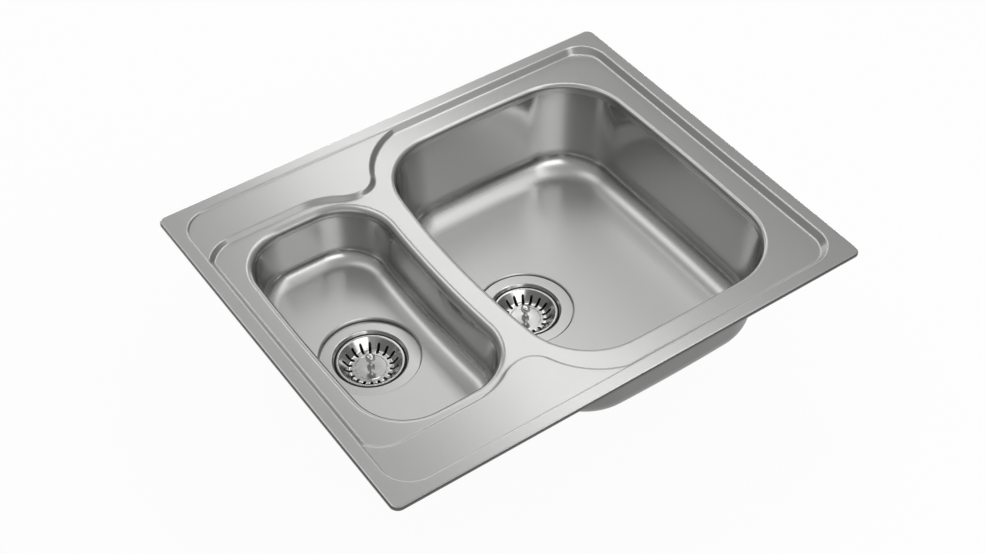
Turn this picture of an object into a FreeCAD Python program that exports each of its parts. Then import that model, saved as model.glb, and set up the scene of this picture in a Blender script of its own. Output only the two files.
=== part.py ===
import FreeCAD, Part
import math
import os
import re

import Sketcher

# One and a half bowl inset sink in pressed stainless steel, with a basket waste in each bowl.
# The origin is the middle of the rim, on the worktop. X runs towards the main bowl, Y towards the
# back and Z up. Sizes are in millimetres and degrees.

SIZES = [
    ("sink_length", 620, "rim, left to right"),
    ("sink_depth", 500, "rim, front to back"),
    ("outer_corner_radius", 10, "plan corner of the rim"),
    ("sheet_wall", 0.8, "thickness of the pressed steel"),
    ("rim_height", 4, "rim top above the worktop"),
    ("rim_edge_radius", 2.5, "roll of the rim into its turned-down edge"),
    ("rim_band", 16.5, "flat rim from its outer edge to the step"),
    ("step_corner_radius", 36, "plan corner of the step"),
    ("step_run", 6.5, "width of the sloping step"),
    ("step_top_radius", 3, "roll at the top of the step"),
    ("step_foot_radius", 3, "roll at the foot of the step"),
    ("field_drop", 8, "rim top down to the field round the bowls"),
    ("ledge_drop", 2.2, "rim top down to the two ledges"),
    ("ledge_gap", 8.4, "half bowl's lip to the ledge's straight edge"),
    ("ledge_dip", 20.6, "how far the ledge reaches in over the bridge"),
    ("ledge_dip_shift", 12, "ledge's innermost point, left of the bridge's middle"),
    ("ledge_corner_inset", 55, "sink's left edge to the centre of the ledge's corner"),
    ("ledge_corner_radius", 40, "ledge's rounded left corner"),
    ("left_shoulder_radius", 80, "ledge's edge as it leaves the straight"),
    ("left_dip_radius", 50, "ledge's edge left of its innermost point"),
    ("right_dip_radius", 28, "ledge's edge right of its innermost point"),
    ("right_shoulder_radius", 97, "ledge's edge as it runs out into the step"),
    ("right_shoulder_setback", 0.5, "crest of that curve short of the step's top line"),
    ("margin_left", 47.2, "sink's left edge to the half bowl's wall"),
    ("margin_right", 53, "sink's right edge to the main bowl's wall"),
    ("margin_main", 49.8, "sink's front and back edges to the main bowl's wall"),
    ("margin_half", 90, "sink's front and back edges to the half bowl's wall"),
    ("bridge_width", 33.5, "wall to wall between the bowls"),
    ("half_bowl_width", 164.5, "half bowl between its walls, left to right"),
    ("main_bowl_drop", 129.5, "field down to the main bowl's floor"),
    ("half_bowl_drop", 75, "field down to the half bowl's floor"),
    ("main_corner_radius", 82, "plan corner of the main bowl"),
    ("half_corner_radius", 60, "plan corner of the half bowl"),
    ("main_left_bow", 1040, "radius of the main bowl's bowed left wall"),
    ("main_right_bow", 4000, "radius of the main bowl's right wall"),
    ("main_end_bow", 2500, "radius of the main bowl's front and back walls"),
    ("half_left_bow", 3000, "radius of the half bowl's left wall"),
    ("half_right_bow", 1400, "radius of the half bowl's waisted right wall"),
    ("half_end_bow", 1500, "radius of the half bowl's front and back walls"),
    ("main_lip_radius", 5.5, "roll of the deck into the main bowl"),
    ("half_lip_radius", 9, "roll of the deck into the half bowl"),
    ("main_floor_radius", 32, "main bowl's wall to its floor"),
    ("half_floor_radius", 20, "half bowl's wall to its floor"),
    ("weld_drop", 12, "field down to the weld between the deck and a bowl"),
    ("bowl_draft", 2.5, "lean of the bowl walls"),
    ("main_drain_gap", 36.8, "main bowl's left wall to the recess round its drain"),
    ("half_drain_gap", 19.3, "half bowl's left wall to the recess round its drain"),
    ("main_recess_depth", 4, "main bowl's floor down to the flange's seat"),
    ("half_recess_depth", 7, "half bowl's floor down to the flange's seat"),
    ("recess_bevel", 1.2, "bevel at the recess's edge"),
    ("recess_lift", 6, "how far that bevel reaches up into the floor's roll"),
    ("drain_hole_gap", 3.9, "strainer cup to the hole through the bowl"),
    ("seal_inset", 3, "rim's outer edge to the rim seal"),
    ("seal_width", 8, "rim seal"),
    ("seal_corner_radius", 12, "plan corner of the rim seal"),
    ("bracket_length", 34, "clip bracket over its feet"),
    ("bracket_loop", 18, "clip bracket's raised middle"),
    ("bracket_width", 8, "clip bracket across"),
    ("bracket_rise", 5, "room inside a clip bracket"),
    ("bracket_wall", 1.2, "clip bracket's strap"),
    ("bracket_spacing", 150, "clip bracket to clip bracket along a side"),
    ("pad_length", 104, "sound pad, left to right"),
    ("pad_depth", 230, "sound pad, front to back"),
    ("pad_thickness", 2, "sound pad"),
    ("pad_corner_radius", 12, "sound pad"),
    ("pad_gap", 8, "main drain's recess to the sound pad"),
    ("flange_width", 13.5, "flat ring of the waste flange"),
    ("flange_clearance", 1, "flange to the recess round it"),
    ("throat_run", 2.7, "throat out to the flange's flat ring"),
    ("mouth_radius", 1.5, "roll of the flange into the throat"),
    ("cup_wall", 0.8, "steel of the strainer cup and the basket"),
    ("gasket_thickness", 1.2, "flange gasket"),
    ("gasket_width", 8, "flange gasket"),
    ("throat_radius", 40.3, "strainer cup's throat, which the basket's seal fits"),
    ("throat_roll", 3.5, "flange down to the throat"),
    ("throat_depth", 7, "flange down to that ledge"),
    ("seat_width", 4.7, "ledge that the basket's seal sits on"),
    ("cup_depth", 28, "flange down to the strainer cup's bottom"),
    ("cup_hole_radius", 7.5, "drain holes in the strainer cup's bottom"),
    ("cup_hole_circle", 22, "pitch radius of those holes"),
    ("cup_hole_count", 6, "number of those holes"),
    ("seal_clearance", 0.3, "basket's seal to the throat"),
    ("seal_overhang", 1.7, "basket's seal beyond the basket's rim"),
    ("seal_height", 3.2, "basket's seal"),
    ("basket_rim_width", 2.2, "basket's flat rim"),
    ("basket_depth", 12, "basket's rim down to its disc"),
    ("basket_disc_radius", 19.5, "basket's flat bottom"),
    ("slot_count", 18, "slots round the basket"),
    ("slot_width", 2.6, "slots"),
    ("slot_inner_gap", 1, "basket's flat bottom to a slot"),
    ("slot_outer_gap", 4.6, "slot to the basket's flat rim"),
    ("knob_foot_radius", 4.5, "pull knob at the basket"),
    ("knob_waist_radius", 2.6, "pull knob's stem"),
    ("knob_head_radius", 5.6, "pull knob's head"),
    ("knob_height", 20, "pull knob above the basket's disc"),
    ("knob_head_height", 6, "pull knob's head"),
    ("knob_neck_height", 3, "tapers above and below the pull knob's stem"),
    ("knob_foot_height", 2, "pull knob's foot"),
    ("knob_crown_radius", 4, "rounded top of the pull knob"),
    ("knob_roll_radius", 1.5, "rounded lower edge of the pull knob's head"),
    ("stud_radius", 2, "threaded stud between the knob and the stem"),
    ("stud_length", 8, "stud below the disc"),
    ("stud_clearance", 0.1, "stud to its holes"),
    ("stem_collar_radius", 7, "stem's collar under the basket"),
    ("stem_collar_height", 2.2, "stem's collar"),
    ("stem_radius", 3.8, "stem that drops into the clamp screw"),
    ("stem_clearance", 0.3, "stem to its socket"),
    ("socket_depth", 6, "socket in the clamp screw's head"),
    ("head_radius", 7.5, "clamp screw's head"),
    ("head_height", 7.5, "clamp screw's head"),
    ("screw_radius", 4, "clamp screw's shank"),
    ("screw_clearance", 0.2, "shank to the holes it passes through"),
    ("screw_overrun", 2, "clamp screw below its nut"),
    ("nut_height", 6.5, "clamp nut"),
    ("nut_flats", 13, "clamp nut across its flats"),
    ("body_gasket_thickness", 2, "gasket on the waste body"),
    ("body_flange_width", 7.5, "waste body's top flange beyond its chamber"),
    ("body_flange_height", 4, "waste body's top flange"),
    ("body_gap", 2.4, "strainer cup to the waste body's chamber"),
    ("body_wall", 3, "moulded wall of the waste body"),
    ("body_depth", 34, "waste body's chamber, below the bowl"),
    ("body_cone", 16, "height of the taper to the outlet"),
    ("outlet_radius", 23.9, "outlet's thread, one and a half inch"),
    ("outlet_wall", 3.9, "outlet's wall"),
    ("outlet_length", 20, "outlet"),
    ("boss_radius", 9, "waste body's centre boss"),
    ("boss_height", 16, "waste body's centre boss"),
    ("rib_count", 4, "ribs that hold the boss"),
    ("rib_wall", 3, "ribs"),
    ("rib_height", 9, "ribs"),
]

doc = FreeCAD.newDocument("one_and_a_half_bowl_sink")
dims = doc.addObject("Spreadsheet::Sheet", "dims")
for row, (name, value, meaning) in enumerate(SIZES, start=1):
    dims.set(f"A{row}", name)
    dims.set(f"B{row}", str(value))
    dims.set(f"C{row}", meaning)
    dims.setAlias(f"B{row}", name)
doc.recompute()

NAMES = {name for name, value, meaning in SIZES}
ORIGIN = (-1, 1)
START, END, CENTRE = 1, 2, 3

# Levels and places that several pieces share, as formulas of the sizes above
FIELD = "(rim_height - field_drop)"
LEDGE = "(rim_height - ledge_drop)"
WELD = f"({FIELD} - weld_drop)"
MAIN_FLOOR = f"({FIELD} - main_bowl_drop)"
HALF_FLOOR = f"({FIELD} - half_bowl_drop)"
HALF_LEFT = "(0 - sink_length / 2 + margin_left)"
HALF_RIGHT = f"({HALF_LEFT} + half_bowl_width)"
MAIN_LEFT = f"({HALF_RIGHT} + bridge_width)"
MAIN_RIGHT = "(sink_length / 2 - margin_right)"
MAIN_END = "(sink_depth / 2 - margin_main)"
HALF_END = "(sink_depth / 2 - margin_half)"
MOUTH = "(throat_radius + throat_run)"
FLANGE = f"({MOUTH} + flange_width)"
RECESS = f"({FLANGE} + flange_clearance)"
DRAIN_HOLE = "(throat_radius + cup_wall + drain_hole_gap)"
MAIN_DRAIN = f"({MAIN_LEFT} + main_drain_gap + {RECESS})"
HALF_DRAIN = f"({HALF_LEFT} + half_drain_gap + {RECESS})"
MAIN_SEAT = f"({MAIN_FLOOR} - main_recess_depth)"
HALF_SEAT = f"({HALF_FLOOR} - half_recess_depth)"
LEDGE_EDGE = f"({HALF_END} + half_lip_radius + ledge_gap)"
LEDGE_CORNER = f"({LEDGE_EDGE} - ledge_corner_radius)"
LEDGE_PLATE = {
    "left": "(0 - sink_length / 2 + rim_band / 2)",
    "right": "(sink_length / 2 - rim_band / 2)",
    "back": "(sink_depth / 2 - rim_band / 2)",
    "front": f"({LEDGE_CORNER} - step_run)",
}


def formula(text):
    """Write a formula's size names as references to the sheet."""
    return re.sub(r"[a-z_]+", lambda m: f"dims.{m[0]}" if m[0] in NAMES else m[0], str(text))


def num(text):
    """Work a formula out as a plain number."""
    result = dims.evalExpression(formula(text))
    return float(getattr(result, "Value", result))


def bind(thing, **properties):
    """Tie properties of an object to formulas of the sizes."""
    for name, text in properties.items():
        thing.setExpression(name.replace("__", "."), formula(text))


def new_body(label):
    """Start a piece."""
    body = doc.addObject("PartDesign::Body", label)
    body.Label = label
    return body


def new_sketch(body, name, plane="XY_Plane", height="0", across="0"):
    """Start a sketch on one of the piece's origin planes, lifted or moved along by a formula."""
    sketch = body.newObject("Sketcher::SketchObject", f"{body.Label}_{name}")
    support = next(item for item in body.Origin.OriginFeatures if item.Role == plane)
    sketch.AttachmentSupport = [(support, "")]
    sketch.MapMode = "FlatFace"
    bind(sketch, AttachmentOffset__Base__z=height, AttachmentOffset__Base__x=across)
    return sketch


def tie(sketch, kind, *places, to):
    """Add a dimension to a sketch and tie it to a formula."""
    index = sketch.addConstraint(Sketcher.Constraint(kind, *places, num(to)))
    label = f"size_{index}"
    sketch.renameConstraint(index, label)
    bind(sketch, **{f"Constraints__{label}": to})


def pin_point(sketch, geometry, point, x, y):
    """Hold a point of a sketch at a formula's place."""
    tie(sketch, "DistanceX", *ORIGIN, geometry, point, to=x)
    tie(sketch, "DistanceY", *ORIGIN, geometry, point, to=y)


def vector(x, y):
    """A point in a sketch."""
    return FreeCAD.Vector(x, y, 0)


def draw_polygon(sketch, points):
    """Draw a closed outline of straight lines through points given as formulas."""
    corners = [vector(num(x), num(y)) for x, y in points]
    lines = [sketch.addGeometry(Part.LineSegment(a, b)) for a, b in zip(corners, corners[1:] + corners[:1])]
    for line, following in zip(lines, lines[1:] + lines[:1]):
        sketch.addConstraint(Sketcher.Constraint("Coincident", line, END, following, START))
    for line, (x, y) in zip(lines, points):
        pin_point(sketch, line, START, x, y)


def draw_circle(sketch, radius, x="0", y="0"):
    """Draw a circle."""
    index = sketch.addGeometry(Part.Circle(vector(num(x), num(y)), FreeCAD.Vector(0, 0, 1), num(radius)))
    pin_point(sketch, index, CENTRE, x, y)
    tie(sketch, "Radius", index, to=radius)


def draw_arc(sketch, centre, radius, start, end, leftward):
    """Draw an arc from start to end, turning left or right, and return its index and its two ends."""
    first, last = (start, end) if leftward else (end, start)
    angles = [math.atan2(point.y - centre.y, point.x - centre.x) for point in (first, last)]
    circle = Part.Circle(centre, FreeCAD.Vector(0, 0, 1), radius)
    index = sketch.addGeometry(Part.ArcOfCircle(circle, *angles))
    return (index, START, END) if leftward else (index, END, START)


def draw_line(sketch, start, end):
    """Draw a line and return its index and its two ends."""
    return sketch.addGeometry(Part.LineSegment(start, end)), START, END


def join(sketch, before, after, smooth):
    """Join two pieces of an outline end to end, tangent where smooth."""
    places = (before[0], before[2], after[0], after[1])
    sketch.addConstraint(Sketcher.Constraint("Tangent" if smooth else "Coincident", *places))


def meeting(centre_a, reach_a, centre_b, reach_b, near):
    """The point at one reach from each of two centres, on the side that is nearer to a third point."""
    line = centre_b - centre_a
    along = (reach_a ** 2 - reach_b ** 2 + line.Length ** 2) / (2 * line.Length)
    aside = math.sqrt(reach_a ** 2 - along ** 2)
    foot = centre_a + line * (along / line.Length)
    normal = vector(-line.y, line.x) * (aside / line.Length)
    return min(foot + normal, foot - normal, key=lambda point: point.distanceToPoint(near))


def draw_rounded_rectangle(sketch, half_x, half_y, radius, x="0"):
    """Draw a rectangle with rounded corners about a middle on the X axis."""
    middle, right, back, turn = num(x), num(half_x), num(half_y), num(radius)
    corners = [(1, 1), (-1, 1), (-1, -1), (1, -1)]
    centres = [vector(middle + a * (right - turn), b * (back - turn)) for a, b in corners]
    before = [vector(turn * a, 0) if a * b > 0 else vector(0, turn * b) for a, b in corners]
    after = [vector(0, turn * b) if a * b > 0 else vector(turn * a, 0) for a, b in corners]
    arcs = [draw_arc(sketch, c, turn, c + p, c + q, True) for c, p, q in zip(centres, before, after)]
    ends = [centre + step for centre, step in zip(centres, after)]
    starts = [centre + step for centre, step in zip(centres, before)]
    lines = [draw_line(sketch, p, q) for p, q in zip(ends, starts[1:] + starts[:1])]
    for arc, line, following in zip(arcs, lines, arcs[1:] + arcs[:1]):
        join(sketch, arc, line, True)
        join(sketch, line, following, True)
        tie(sketch, "Radius", arc[0], to=radius)
    for line, kind in zip(lines, ("Horizontal", "Vertical", "Horizontal", "Vertical")):
        sketch.addConstraint(Sketcher.Constraint(kind, line[0]))
    tie(sketch, "DistanceY", *ORIGIN, lines[0][0], START, to=half_y)
    tie(sketch, "DistanceX", *ORIGIN, lines[1][0], START, to=f"{x} - ({half_x})")
    tie(sketch, "DistanceY", *ORIGIN, lines[2][0], START, to=f"0 - ({half_y})")
    tie(sketch, "DistanceX", *ORIGIN, lines[3][0], START, to=f"{x} + {half_x}")


BOWLS = {
    "main": {
        "walls": (MAIN_RIGHT, MAIN_END, MAIN_LEFT),
        "bows": (("main_right_bow", 1), ("main_end_bow", 1), ("main_left_bow", 1), ("main_end_bow", 1)),
        "corner": "main_corner_radius",
    },
    "half": {
        "walls": (HALF_RIGHT, HALF_END, HALF_LEFT),
        "bows": (("half_right_bow", -1), ("half_end_bow", 1), ("half_left_bow", 1), ("half_end_bow", 1)),
        "corner": "half_corner_radius",
    },
}


def draw_bowl_outline(sketch, bowl, inset):
    """Draw a bowl's wall line, moved in by a formula: four bowed sides joined by tangent corners.

    A side with bow +1 swells outwards and one with bow -1 is waisted. Each corner's centre lies where
    its arc touches both sides.
    """
    right, end, left = BOWLS[bowl]["walls"]
    middle = f"(({right} + {left}) / 2)"
    corner = f"({BOWLS[bowl]['corner']} - ({inset}))"
    outward = [vector(1, 0), vector(0, 1), vector(-1, 0), vector(0, -1)]
    crests = [
        (f"({right} - ({inset}))", "0"),
        (middle, f"({end} - ({inset}))"),
        (f"({left} + ({inset}))", "0"),
        (middle, f"(0 - {end} + ({inset}))"),
    ]
    radii, centre_formulas = [], []
    for (x, y), direction, (bow, swell) in zip(crests, outward, BOWLS[bowl]["bows"]):
        radius = f"({bow} - {swell} * ({inset}))"
        radii.append(radius)
        shift_x, shift_y = int(direction.x) * swell, int(direction.y) * swell
        centre_formulas.append((f"{x} - {shift_x} * {radius}", f"{y} - {shift_y} * {radius}"))
    swells = [swell for bow, swell in BOWLS[bowl]["bows"]]
    centres = [vector(num(x), num(y)) for x, y in centre_formulas]
    turn = num(corner)
    knuckles = []
    for i in range(4):
        j = (i + 1) % 4
        reach_i = num(radii[i]) - swells[i] * turn
        reach_j = num(radii[j]) - swells[j] * turn
        crest_i, crest_j = ([num(value) for value in crests[k]] for k in (i, j))
        upright, level = (crest_i, crest_j) if i % 2 == 0 else (crest_j, crest_i)
        near = vector(upright[0], level[1])
        knuckles.append(meeting(centres[i], reach_i, centres[j], reach_j, near))
    pieces = []
    for i in range(4):
        j = (i + 1) % 4
        touch = [
            centres[k] + (knuckle - centres[k]).normalize() * num(radii[k])
            for k, knuckle in ((i, knuckles[i - 1]), (i, knuckles[i]), (j, knuckles[i]))
        ]
        side = draw_arc(sketch, centres[i], num(radii[i]), touch[0], touch[1], swells[i] > 0)
        tie(sketch, "Radius", side[0], to=radii[i])
        pin_point(sketch, side[0], CENTRE, *centre_formulas[i])
        bend = draw_arc(sketch, knuckles[i], turn, touch[1], touch[2], True)
        tie(sketch, "Radius", bend[0], to=corner)
        pieces += [side, bend]
    for before, after in zip(pieces, pieces[1:] + pieces[:1]):
        join(sketch, before, after, True)


def draw_ledge_outline(sketch, shift):
    """Draw the back ledge's edge, moved towards the field by a formula, and close it under the rim.

    From the left the edge is a rounded corner, a straight, a shoulder, a dip over the bridge between
    the bowls and a second shoulder, which runs out into the step. Both ends run on straight, under
    the step, to the sides of the ledge's plate.
    """
    dip_x = f"(({HALF_RIGHT} + {MAIN_LEFT}) / 2 - ledge_dip_shift)"
    dip_y = f"({LEDGE_EDGE} - ledge_dip)"
    corner_x = "(0 - sink_length / 2 + ledge_corner_inset)"
    crest = "(sink_depth / 2 - rim_band - right_shoulder_setback)"
    radii = {
        "corner": f"(ledge_corner_radius - ({shift}))",
        "left_shoulder": f"(left_shoulder_radius - ({shift}))",
        "left_dip": f"(left_dip_radius + {shift})",
        "right_dip": f"(right_dip_radius + {shift})",
        "right_shoulder": f"(right_shoulder_radius - ({shift}))",
    }
    left_dip_y = f"({dip_y} + left_dip_radius)"
    right_dip_y = f"({dip_y} + right_dip_radius)"
    left_shoulder_y = f"({LEDGE_EDGE} - left_shoulder_radius)"
    right_shoulder_y = f"({crest} - right_shoulder_radius)"

    def aside(radius_a, radius_b, y_a, y_b):
        """How far apart in X two touching arcs' centres are."""
        return math.sqrt((num(radius_a) + num(radius_b)) ** 2 - (num(y_a) - num(y_b)) ** 2)

    left_step = aside("left_shoulder_radius", "left_dip_radius", left_shoulder_y, left_dip_y)
    right_step = aside("right_shoulder_radius", "right_dip_radius", right_shoulder_y, right_dip_y)
    size = {name: num(radius) for name, radius in radii.items()}
    centre = {
        "corner": vector(num(corner_x), num(LEDGE_CORNER)),
        "left_shoulder": vector(num(dip_x) - left_step, num(left_shoulder_y)),
        "left_dip": vector(num(dip_x), num(left_dip_y)),
        "right_dip": vector(num(dip_x), num(right_dip_y)),
        "right_shoulder": vector(num(dip_x) + right_step, num(right_shoulder_y)),
    }

    def between(a, b):
        """Where two touching arcs meet."""
        return centre[a] + (centre[b] - centre[a]).normalize() * size[a]

    up, left = vector(0, 1), vector(-1, 0)
    side = {name: num(place) for name, place in LEDGE_PLATE.items()}
    left_turn = between("left_shoulder", "left_dip")
    right_turn = between("right_shoulder", "right_dip")
    bottom = centre["left_dip"] - up * size["left_dip"]
    foot = centre["corner"] + left * size["corner"]
    corner_end = centre["corner"] + up * size["corner"]
    straight_end = centre["left_shoulder"] + up * size["left_shoulder"]
    crest_point = centre["right_shoulder"] + up * size["right_shoulder"]
    run_start = vector(foot.x, side["front"])
    run_end = vector(side["right"], crest_point.y)
    right_back, left_back = vector(side["right"], side["back"]), vector(side["left"], side["back"])
    left_front = vector(side["left"], side["front"])

    def arc(name, start, end, leftward):
        piece = draw_arc(sketch, centre[name], size[name], start, end, leftward)
        tie(sketch, "Radius", piece[0], to=radii[name])
        return piece

    run_in = draw_line(sketch, run_start, foot)
    corner = arc("corner", foot, corner_end, False)
    edge = draw_line(sketch, corner_end, straight_end)
    left_shoulder = arc("left_shoulder", straight_end, left_turn, False)
    left_dip = arc("left_dip", left_turn, bottom, True)
    right_dip = arc("right_dip", bottom, right_turn, True)
    right_shoulder = arc("right_shoulder", right_turn, crest_point, False)
    run_out = draw_line(sketch, crest_point, run_end)
    curve = [run_in, corner, edge, left_shoulder, left_dip, right_dip, right_shoulder, run_out]
    closing_points = [run_end, right_back, left_back, left_front, run_start]
    closing = [draw_line(sketch, a, b) for a, b in zip(closing_points, closing_points[1:])]
    for before, after in zip(curve, curve[1:]):
        join(sketch, before, after, True)
    for before, after in zip([run_out] + closing, closing + [run_in]):
        join(sketch, before, after, False)
    for line in (edge, run_out, closing[1], closing[3]):
        sketch.addConstraint(Sketcher.Constraint("Horizontal", line[0]))
    for line in (run_in, closing[0], closing[2]):
        sketch.addConstraint(Sketcher.Constraint("Vertical", line[0]))
    pin_point(sketch, corner[0], CENTRE, corner_x, LEDGE_CORNER)
    pin_point(sketch, left_dip[0], CENTRE, dip_x, left_dip_y)
    tie(sketch, "DistanceX", *ORIGIN, right_dip[0], CENTRE, to=dip_x)
    tie(sketch, "DistanceY", *ORIGIN, right_shoulder[0], CENTRE, to=right_shoulder_y)
    tie(sketch, "DistanceX", *ORIGIN, closing[0][0], START, to=LEDGE_PLATE["right"])
    tie(sketch, "DistanceY", *ORIGIN, closing[1][0], START, to=LEDGE_PLATE["back"])
    tie(sketch, "DistanceX", *ORIGIN, closing[2][0], START, to=LEDGE_PLATE["left"])
    tie(sketch, "DistanceY", *ORIGIN, closing[3][0], START, to=LEDGE_PLATE["front"])


def pad(body, sketch, length, downward=False):
    """Raise a sketch into a solid."""
    feature = body.newObject("PartDesign::Pad", f"{sketch.Name}_pad")
    feature.Profile = sketch
    feature.Reversed = downward
    bind(feature, Length=length)
    return feature


def pocket(body, sketch, length):
    """Cut a sketch down into the piece."""
    feature = body.newObject("PartDesign::Pocket", f"{sketch.Name}_pocket")
    feature.Profile = sketch
    bind(feature, Length=length)
    return feature


def loft(body, kind, first, second):
    """Join two sketches by straight-lined walls, added to the piece or cut from it."""
    feature = body.newObject(f"PartDesign::{kind}Loft", f"{first.Name}_loft")
    feature.Profile = first
    feature.Sections = [second]
    feature.Ruled = True
    return feature


def turn(body, sketch):
    """Turn a sketch about its upright axis and add it to the piece."""
    feature = body.newObject("PartDesign::Revolution", f"{sketch.Name}_turn")
    feature.Profile = sketch
    feature.ReferenceAxis = (sketch, ["V_Axis"])
    feature.Angle = 360
    return feature


def round_edges(body, name, radius, wanted):
    """Round the edges of the piece so far that a test picks out."""
    doc.recompute()
    base = body.Tip
    edges = [f"Edge{i}" for i, edge in enumerate(base.Shape.Edges, start=1) if wanted(edge)]
    feature = body.newObject("PartDesign::Fillet", f"{body.Label}_{name}")
    feature.Base = (base, edges)
    bind(feature, Radius=radius)
    return feature


def repeat_round(body, feature, count):
    """Repeat a feature round the piece's upright axis."""
    pattern = body.newObject("PartDesign::PolarPattern", f"{feature.Name}_round")
    pattern.Originals = [feature]
    axis = next(item for item in body.Origin.OriginFeatures if item.Role == "Z_Axis")
    pattern.Axis = (axis, [""])
    pattern.Angle = 360
    bind(pattern, Occurrences=count)
    body.Tip = pattern
    return pattern


NEAR = 1e-4


def flat_at(level):
    """A test for edges that lie in a level plane."""
    height = num(level)
    return lambda edge: max(abs(edge.BoundBox.ZMin - height), abs(edge.BoundBox.ZMax - height)) < NEAR


def ring_at(radius, level):
    """A test for full circles round the piece's axis, of one radius at one level."""
    is_level, size = flat_at(level), num(radius)
    return lambda edge: is_level(edge) and abs(edge.BoundBox.XMax - size) < NEAR


def inside(half_x, half_y):
    """A test for edges within a rectangle about the origin."""
    right, back = num(half_x) + NEAR, num(half_y) + NEAR
    return lambda edge: max(-edge.BoundBox.XMin, edge.BoundBox.XMax) < right and (
        max(-edge.BoundBox.YMin, edge.BoundBox.YMax) < back
    )


def middle_of(edge):
    """The point halfway along an edge."""
    return edge.valueAt((edge.FirstParameter + edge.LastParameter) / 2)


def against(shape):
    """A test for edges that lie against a shape."""
    return lambda edge: shape.distToShape(Part.Vertex(middle_of(edge)))[0] < NEAR


def both(test_a, test_b):
    """A test that joins two others."""
    return lambda edge: test_a(edge) and test_b(edge)


# The pressed deck. Its top face and its underside are made as two blocks, one sheet apart, and the
# deck is what lies between them.
STEP_X = "(sink_length / 2 - rim_band)"
STEP_Y = "(sink_depth / 2 - rim_band)"
LEDGE_RUN = "(step_run * (field_drop - ledge_drop) / field_drop)"


def slope_shift(skin):
    """How far a step's lines move sideways when its face moves in by a skin."""
    return f"({skin} * tan(atan(field_drop / step_run) / 2))"


def wall_inset(level, skin="0"):
    """How far a bowl's wall stands in from its line on the field, at a level and a skin outwards."""
    return f"(({FIELD} - {level}) * tan(bowl_draft) - {skin} / cos(bowl_draft))"


def rim_block(label, skin, bottom):
    """The block under the rim and the field, with the step sunk into it."""
    body = new_body(label)
    top, field, shift = f"(rim_height - {skin})", f"({FIELD} - {skin})", slope_shift(skin)
    rim = new_sketch(body, "rim", height=top)
    rim_x, rim_y = f"(sink_length / 2 - {skin})", f"(sink_depth / 2 - {skin})"
    draw_rounded_rectangle(rim, rim_x, rim_y, f"(outer_corner_radius - {skin})")
    pad(body, rim, f"{top} - {bottom}", downward=True)
    round_edges(body, "rim_edge", f"rim_edge_radius - {skin}", flat_at(top))
    step_top = new_sketch(body, "step_top", height=top)
    top_x, top_y = f"({STEP_X} + {shift})", f"({STEP_Y} + {shift})"
    draw_rounded_rectangle(step_top, top_x, top_y, f"(step_corner_radius + {shift})")
    step_foot = new_sketch(body, "step_foot", height=field)
    foot_x, foot_y = f"({top_x} - step_run)", f"({top_y} - step_run)"
    draw_rounded_rectangle(step_foot, foot_x, foot_y, f"(step_corner_radius + {shift} - step_run)")
    loft(body, "Subtractive", step_top, step_foot)
    in_step = inside(top_x, top_y)
    round_edges(body, "step_top_roll", f"step_top_radius - {skin}", both(in_step, flat_at(top)))
    round_edges(body, "step_foot_roll", f"step_foot_radius + {skin}", both(in_step, flat_at(field)))
    return body


def ledge_block(label, skin):
    """The back ledge on a plate under it, with its sloping edge rolled at the top and the foot."""
    body = new_body(label)
    top, field, shift = f"({LEDGE} - {skin})", f"({FIELD} - {skin})", slope_shift(skin)
    left, right, back, front = LEDGE_PLATE.values()
    plate = new_sketch(body, "plate", height=field)
    draw_polygon(plate, [(left, front), (right, front), (right, back), (left, back)])
    pad(body, plate, "weld_drop / 2", downward=True)
    foot = new_sketch(body, "foot", height=field)
    draw_ledge_outline(foot, f"({LEDGE_RUN} / 2 - {shift})")
    crest = new_sketch(body, "crest", height=top)
    draw_ledge_outline(crest, f"(0 - {LEDGE_RUN} / 2 - {shift})")
    loft(body, "Additive", foot, crest)
    sides_x, sides_y = (num(left), num(right)), (num(back), num(front))

    def on_curve(edge):
        """A test for the ledge's edge, which only ends on the plate's sides."""
        middle = middle_of(edge)
        gaps = [abs(middle.x - place) for place in sides_x] + [abs(middle.y - place) for place in sides_y]
        return min(gaps) > NEAR

    round_edges(body, "top_roll", f"step_top_radius - {skin}", both(on_curve, flat_at(top)))
    round_edges(body, "foot_roll", f"step_foot_radius + {skin}", both(on_curve, flat_at(field)))
    return body


def mouth_plug(label, bowl, skin, bottom):
    """The plug that cuts a bowl's mouth out of a deck block, down to a level."""
    body = new_body(label)
    top = new_sketch(body, "top", height="rim_height")
    draw_bowl_outline(top, bowl, wall_inset("rim_height", skin))
    foot = new_sketch(body, "foot", height=bottom)
    draw_bowl_outline(foot, bowl, wall_inset(bottom, skin))
    loft(body, "Additive", top, foot)
    return body


def deck_side(name, skin, bottom):
    """One face of the deck, with its ledges, its mouths and the rolled lips round them."""
    ledge = ledge_block(f"{name}_back_ledge", skin)
    mirrored = doc.addObject("Part::Mirroring", f"{name}_front_ledge")
    mirrored.Source = ledge
    mirrored.Normal = FreeCAD.Vector(0, 1, 0)
    whole = doc.addObject("Part::MultiFuse", f"{name}_block")
    whole.Shapes = [rim_block(f"{name}_rim_block", skin, bottom), ledge, mirrored]
    plugs = {}
    for bowl in BOWLS:
        plugs[bowl] = mouth_plug(f"{name}_{bowl}_plug", bowl, skin, f"({bottom} - sheet_wall)")
        cut = doc.addObject("Part::Cut", f"{name}_{bowl}_mouth")
        cut.Base = whole
        cut.Tool = plugs[bowl]
        whole = cut
    doc.recompute()
    lips = []
    for bowl, plug in plugs.items():
        radius = num(f"{bowl}_lip_radius - {skin}")
        wanted = both(flat_at(f"({FIELD} - {skin})"), against(plug.Shape))
        edges = [i for i, edge in enumerate(whole.Shape.Edges, start=1) if wanted(edge)]
        lips += [(i, radius, radius) for i in edges]
    rolled = doc.addObject("Part::Fillet", f"{name}_lips")
    rolled.Base = whole
    rolled.Edges = lips
    return rolled


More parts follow.
